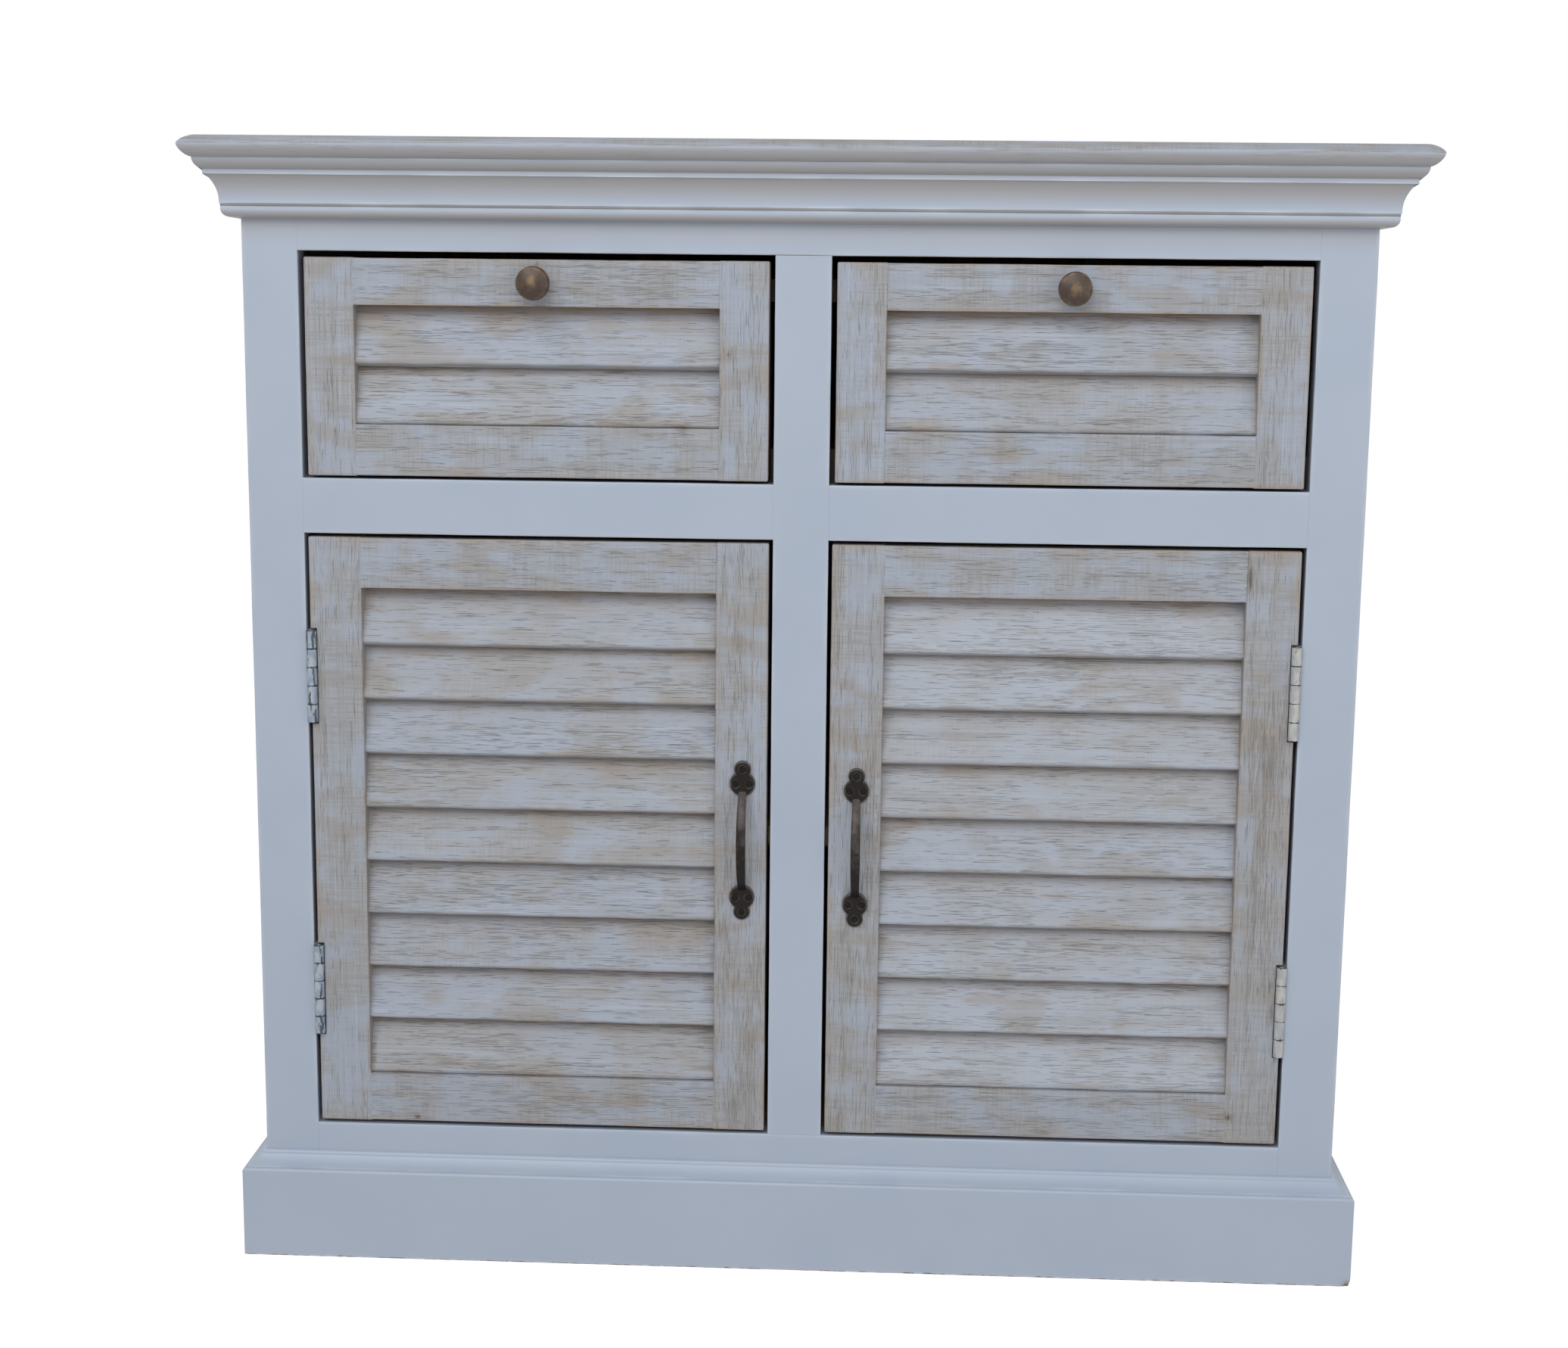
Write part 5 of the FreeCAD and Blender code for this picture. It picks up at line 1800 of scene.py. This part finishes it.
@dataclass
class Moulding:
    """A painted moulding along the front and both sides of the case, mitred at its corners.

    Args:
        name: how the names of its pieces and nodes start.
        outline: rows of how far out of the case's face and how high, in millimetres, and
            the radius of the arc that leads to the next row: 0 for a straight line, and less
            than 0 for a hollow. They run anticlockwise, seen with out to the right.
        seed: sets its wear.
        dirt: lines of painted shade along it, each with its height and its fade.
        foot: whether its lower edge is worn and its right corner chipped.
        step: the spacing of its points.
        rubbed: how the coat is rubbed thin on its edges and painted lighter there, as wear and a
            painted highlight.
        worn: how the lower edge is worn to the wood.
        corner: how far the chipped corner is drawn in, and how far that is felt.
    """

    name: str
    outline: tuple[Size, ...]
    seed: int
    dirt: tuple[tuple[float, Fade], ...] = ()
    foot: bool = False
    step: float = 3 * MM
    rubbed: Fade = Fade(0.7, 0.9 * MM)
    worn: Fade = Fade(0.75, 0.9 * MM)
    corner: tuple[float, Size] = (1.3 * MM, (5 * MM, 5 * MM, 4 * MM))

    def profile(self) -> tuple[np.ndarray, np.ndarray]:
        """The outline as points, and how far each is from the nearest outer corner.

        A straight stretch is cut up by the cosine of equal angles, so that its points are
        closer together towards its ends, and an arc is cut up evenly.

        Returns:
            The points out of the case's face and up, and the distances.
        """
        rows = np.array(self.outline)
        points = []
        for (x, z, radius), end in zip(rows, np.roll(rows, -1, axis=0)[:, :2]):
            start = np.array((x, z))
            half = np.linalg.norm(end - start) / 2
            if radius == 0:
                turn = np.linspace(0, np.pi, max(4, math.ceil(half) + 2))[:-1]
                points.append(start + np.multiply.outer((1 - np.cos(turn)) / 2, end - start))
                continue
            ahead = (end - start) / (2 * half)
            left = np.array((-ahead[1], ahead[0]))
            centre = ((start + end) / 2
                      + math.copysign(math.sqrt(radius ** 2 - half ** 2), radius) * left)
            whole = math.copysign(2 * math.asin(half / abs(radius)), radius)
            turn = np.linspace(0, whole, max(6, math.ceil(2 * half)))[:-1]
            arm = start - centre
            points.append(centre + np.multiply.outer(np.cos(turn), arm)
                          + np.multiply.outer(np.sin(turn), (-arm[1], arm[0])))
        points = np.concatenate(points)
        ahead = np.roll(points, -1, axis=0) - points
        angle = np.arctan2(ahead[:, 1], ahead[:, 0])
        bend = (angle - np.roll(angle, 1) + np.pi) % (2 * np.pi) - np.pi
        gaps = np.linalg.norm(points[:, None] - points[(bend > 0.6) & (points[:, 0] > 0)],
                              axis=2)
        return points * MM, gaps.min(1) * MM

    def build(self) -> None:
        """Makes the front, left and right lengths.

        Each carries the outline along its own direction, as far as the planes of the mitres.
        The coat is rubbed thin along the outer corners and painted lighter there, as wear and a
        painted highlight, and painted shade lies along the given lines.
        """
        low, high = node_box("side_left")[0], node_box("side_right")[1]
        front = node_box("face_stile_left")[0][1]
        outline, arris = self.profile()
        out = outline[:, 0]
        for word in ("front", "left", "right"):
            span = high[0] - low[0] if word == "front" else high[1] - front
            share = np.linspace(0, 1, round(span / self.step))[:, None]
            if word == "front":
                rings = points_at(low[0] - out + share * (span + 2 * out), front - out,
                                  outline[:, 1])
            else:
                rings = points_at(low[0] - out if word == "left" else high[0] + out,
                                  high[1] - share * (span + out), outline[:, 1])
            order = slice(None) if word == "right" else slice(None, None, -1)
            surface = skin(rings[:, order])
            points = surface.points
            edge = np.append(np.tile(arris[order], len(share)), (1.0, 1.0))
            wave = wave_of(points, self.seed)
            surface.values = {
                # wear and a painted highlight along the outer corners
                "rub": wave * self.rubbed.at(edge),
                # painted shade along the given lines
                "grime": sum((fade.bell(points[:, 2] - height) for height, fade in self.dirt),
                             np.zeros(len(points)))}
            if self.foot:
                self.wear_foot(surface, np.array((high[0], front)))
            make_piece(f"{self.name}_{word}_moulding", surface, BODY, "cabinet",
                       f"{self.name}_{word}")

    def wear_foot(self, surface: Surface, corner: np.ndarray) -> None:
        """Wears the lower edge to bare wood and knocks the right front corner off.

        The corner is drawn towards the case by a bell curve of the distance from it.

        Args:
            surface: the length, whose points and values are changed.
            corner: the X and Y of the case's own corner.
        """
        points = surface.points
        reach = np.array(self.outline)[:, 0].max() * MM
        tip = np.append(corner + (reach, -reach), 0)
        drawn, reaches = self.corner
        hit = Fade(1.0, 1.0).bell(np.linalg.norm((points - tip) / reaches, axis=1))
        points[:, :2] -= np.multiply.outer(drawn * hit, (1, -1))
        line = self.worn.at(points[:, 2], wave_of(points, self.seed + 3, 0.05))
        surface.values["chip"] = (line + 0.8 * hit).clip(0, 1)
        surface.values["grime"] += 0.7 * hit


# The crown's lines of painted shade: in the quirk above its bead, and on the ovolo under the top
# board.
CROWN = Moulding("crown", (
    (0, 867.9, 0), (7.8, 869.4, 6.2), (12.7, 874.8, 0), (12.7, 877.6, 0), (11.6, 877.8, 0),
    (13.5, 880.2, -29), (21.9, 902.3, 0), (23.3, 902.3, 0), (23.3, 906, 9.2),
    (29.8, 914.9, 0), (0, 914.9, 0)), seed=620,
    dirt=((0.8787, Fade(0.24, 1.1 * MM)), (0.912, Fade(0.16, 5 * MM))))
PLINTH = Moulding("plinth", (
    (0, 0, 0), (17, 0, 0), (17, 74.5, 2.5), (14.5, 77, 0), (13.6, 77, 0), (13.6, 77.8, -20),
    (3, 85.8, 0), (3, 86.6, 3.4), (0, 89, 0)), seed=640, foot=True)


@dataclass
class Carcass:
    """The painted case with its frame, crown and plinth, and the parts inside.

    Args:
        painted: nodes of the construction in the body's paint.
        bare: those in bare wood.
        waxed: those in dark waxed wood.
    """

    painted: tuple[str, ...] = ("side_left", "side_right")
    bare: tuple[str, ...] = ("floor_panel", "back_panel", "partition", "shelf_left",
                             "shelf_right")
    waxed: tuple[str, ...] = ("drawer_runners", "drawer_kickers")

    def build(self) -> None:
        """Makes the top board, the mouldings and the face frame, and dresses the rest."""
        TopBoard().build()
        CROWN.build()
        PLINTH.build()
        FaceFrame().build()
        BODY.dress(*self.painted)
        INNER.dress(*self.bare)
        RUNNER.dress(*self.waxed)
        HINGE.dress("hinge_frame_leaves", "hinge_pins")
        STEEL.dress("hinge_frame_screws")
        ZINC.dress("shelf_supports")
        PLASTIC.dress("magnet_catches")


# stains and knots: place across, height, reach across, reach up, strength

LEFT_DOOR_MARKS = (
    (-0.318, 0.5867, 0.012, 0.0022, 0.9), (-0.0567, 0.600, 0.012, 0.010, 0.6),
    (-0.0533, 0.5445, 0.009, 0.022, 0.5), (-0.358, 0.172, 0.0018, 0.016, 1.3),
    (-0.3197, 0.1205, 0.004, 0.003, 1.2), (-0.2225, 0.2797, 0.03, 0.008, 0.5),
    (-0.397, 0.600, 0.006, 0.016, 0.4), (-0.27, 0.578, 0.05, 0.005, 0.4),
    (-0.045, 0.26, 0.03, 0.13, 0.4), (-0.22, 0.135, 0.2, 0.03, 0.38),
)
RIGHT_DOOR_MARKS = (
    (0.383, 0.445, 0.022, 0.045, 0.85), (0.3612, 0.595, 0.0025, 0.018, 1.2),
    (0.386, 0.33, 0.018, 0.09, 0.75), (0.2626, 0.5962, 0.012, 0.006, 0.7),
    (0.3006, 0.583, 0.024, 0.005, 0.85), (0.21, 0.135, 0.22, 0.03, 0.25),
    (0.045, 0.35, 0.02, 0.16, 0.35), (0.362, 0.1387, 0.006, 0.005, 1.1),
    (0.366, 0.5826, 0.008, 0.012, 0.5), (0.345, 0.600, 0.012, 0.012, 0.5),
    (0.22, 0.52, 0.03, 0.012, 0.5),
)
LEFT_DRAWER_MARKS = (
    (-0.0596, 0.765, 0.004, 0.005, 1.2), (-0.1818, 0.822, 0.02, 0.010, 0.5),
    (-0.2132, 0.8332, 0.0012, 0.004, 1.2), (-0.13, 0.8207, 0.03, 0.012, 0.9),
    (-0.2534, 0.7836, 0.008, 0.004, 0.9), (-0.0952, 0.7048, 0.006, 0.003, 1.1),
)
RIGHT_DRAWER_MARKS = (
    (0.257, 0.7159, 0.03, 0.0018, 1.3), (0.05, 0.70, 0.008, 0.02, 0.4),
)


# studio

@dataclass(frozen=True)
class SoftBox:
    """A lamp that faces a point.

    Args:
        name: its name.
        place: where it stands.
        target: the point that it faces.
        size: its width and height.
        power: its power in watts.
    """

    name: str
    place: Size
    target: Size
    size: Pair
    power: float

    def build(self) -> None:
        """Makes the lamp."""
        data = bpy.data.lights.new(self.name, "AREA")
        data.shape = "RECTANGLE"
        data.size, data.size_y = self.size
        data.energy = self.power
        aim = Vector(self.target) - Vector(self.place)
        join(self.name, data, Matrix.Translation(self.place)
             @ aim.to_track_quat("-Z", "Y").to_matrix().to_4x4())


@dataclass
class Studio:
    """A pale floor, soft light and the camera.

    Args:
        eye: the camera's place.
        yaw: how far it looks to the left, in radians.
        pitch: how far it looks down.
        roll: how far it is turned about its own axis.
        focal: its focal length as a share of the picture's width.
        sensor: the width of its sensor in millimetres.
        half: half the width of the floor.
        lamps: the lamps.
    """

    eye: Size = (0.0756, -2.0524, 0.8331)
    yaw: float = -0.04643
    pitch: float = 0.17023
    roll: float = 0.01031
    focal: float = 1.50329
    sensor: float = 36.0
    half: float = 6.0
    lamps: tuple[SoftBox, ...] = (
        SoftBox("key", (-0.7, -2.6, 2.5), (0, -0.1, 0.45), (2.6, 1.8), 54),
        SoftBox("fill", (1.8, -2.2, 1.2), (0, -0.1, 0.45), (2.0, 2.0), 14))

    def build(self) -> None:
        """Sets up the view, the floor, the world and the lamps."""
        scene = bpy.context.scene
        scene.view_settings.view_transform = "Standard"
        self.place_camera()
        self.lay_floor()
        self.light_world()
        for lamp in self.lamps:
            lamp.build()

    def place_camera(self) -> None:
        """Turns the camera upright and then by its yaw, pitch and roll."""
        turn = (Matrix.Rotation(-self.yaw, 4, "Z")
                @ Matrix.Rotation(math.pi / 2 - self.pitch, 4, "X")
                @ Matrix.Rotation(self.roll, 4, "Z"))
        data = bpy.data.cameras.new("camera")
        data.sensor_fit = "HORIZONTAL"
        data.sensor_width = self.sensor
        data.lens = self.focal * self.sensor
        data.clip_end = 50
        bpy.context.scene.camera = join("camera", data, Matrix.Translation(self.eye) @ turn)

    def lay_floor(self) -> None:
        """A wide floor that the camera sees as white, less the object's shadow."""
        corners = ((-1, -1), (1, -1), (1, 1), (-1, 1))
        mesh = bpy.data.meshes.new("floor")
        mesh.from_pydata([(x * self.half, y * self.half, 0) for x, y in corners], [],
                         [(0, 1, 2, 3)])
        floor = join("floor", mesh)
        material = bpy.data.materials.new("studio_floor")
        tree = emptied(material)
        pale = add(tree, "BsdfDiffuse", {"Color": linear("#e6e6e6")})
        seen = add(tree, "BsdfDiffuse", {"Color": linear("#808080")})
        glow = add(tree, "Emission", {"Color": linear("#ffffff"), "Strength": 0.93})
        white = add(tree, "AddShader", {0: seen.outputs[0], 1: glow.outputs[0]})
        self.show(tree, "OutputMaterial", pale, white)
        mesh.materials.append(material)

    def light_world(self) -> None:
        """Soft light from all round, seen as white by the camera and by gloss."""
        world = bpy.data.worlds.new("studio")
        bpy.context.scene.world = world
        tree = emptied(world)
        soft = add(tree, "Background", {"Color": linear("#f4f6fa"), "Strength": 0.42})
        white = add(tree, "Background", {"Color": linear("#ffffff"), "Strength": 1.0})
        self.show(tree, "OutputWorld", soft, white)

    def show(self, tree: bpy.types.NodeTree, output: str, light: bpy.types.Node,
             seen: bpy.types.Node) -> None:
        """Ends a tree with one shader for light and one for what is seen.

        Args:
            tree: the node tree.
            output: the kind of its output node.
            light: the shader that lights the object.
            seen: the shader for rays from the camera, off gloss and through glass.
        """
        ray = add(tree, "LightPath").outputs
        share = ray["Is Camera Ray"]
        for other in ("Is Glossy Ray", "Is Transmission Ray"):
            share = add(tree, "Math", {0: share, 1: ray[other]}, operation="MAXIMUM").outputs[0]
        both = add(tree, "MixShader", {0: share, 1: light.outputs[0], 2: seen.outputs[0]})
        add(tree, output, {"Surface": both.outputs[0]})


def main() -> None:
    """Builds the cabinet's finish and the studio."""
    logging.basicConfig(level=logging.INFO, format="%(name)s: %(message)s")
    Carcass().build()
    Door(Side.LEFT, seed=100, marks=LEFT_DOOR_MARKS,
         openings={"high_stile": (0.0, 0.9 * MM)}).build()
    Door(Side.RIGHT, seed=200, marks=RIGHT_DOOR_MARKS, coat=PALE_HINGE, chalky=0.36,
         cracks=((-0.9, 0.1, 0.1), (0.7, 0.1, 0.1)),
         openings={"high_stile": (0.9 * MM, 1.3 * MM)}).build()
    DrawerFront(Side.LEFT, seed=300, marks=LEFT_DRAWER_MARKS).build()
    DrawerFront(Side.RIGHT, seed=400, marks=RIGHT_DRAWER_MARKS).build()
    Studio().build()


if __name__ == "__main__":
    main()
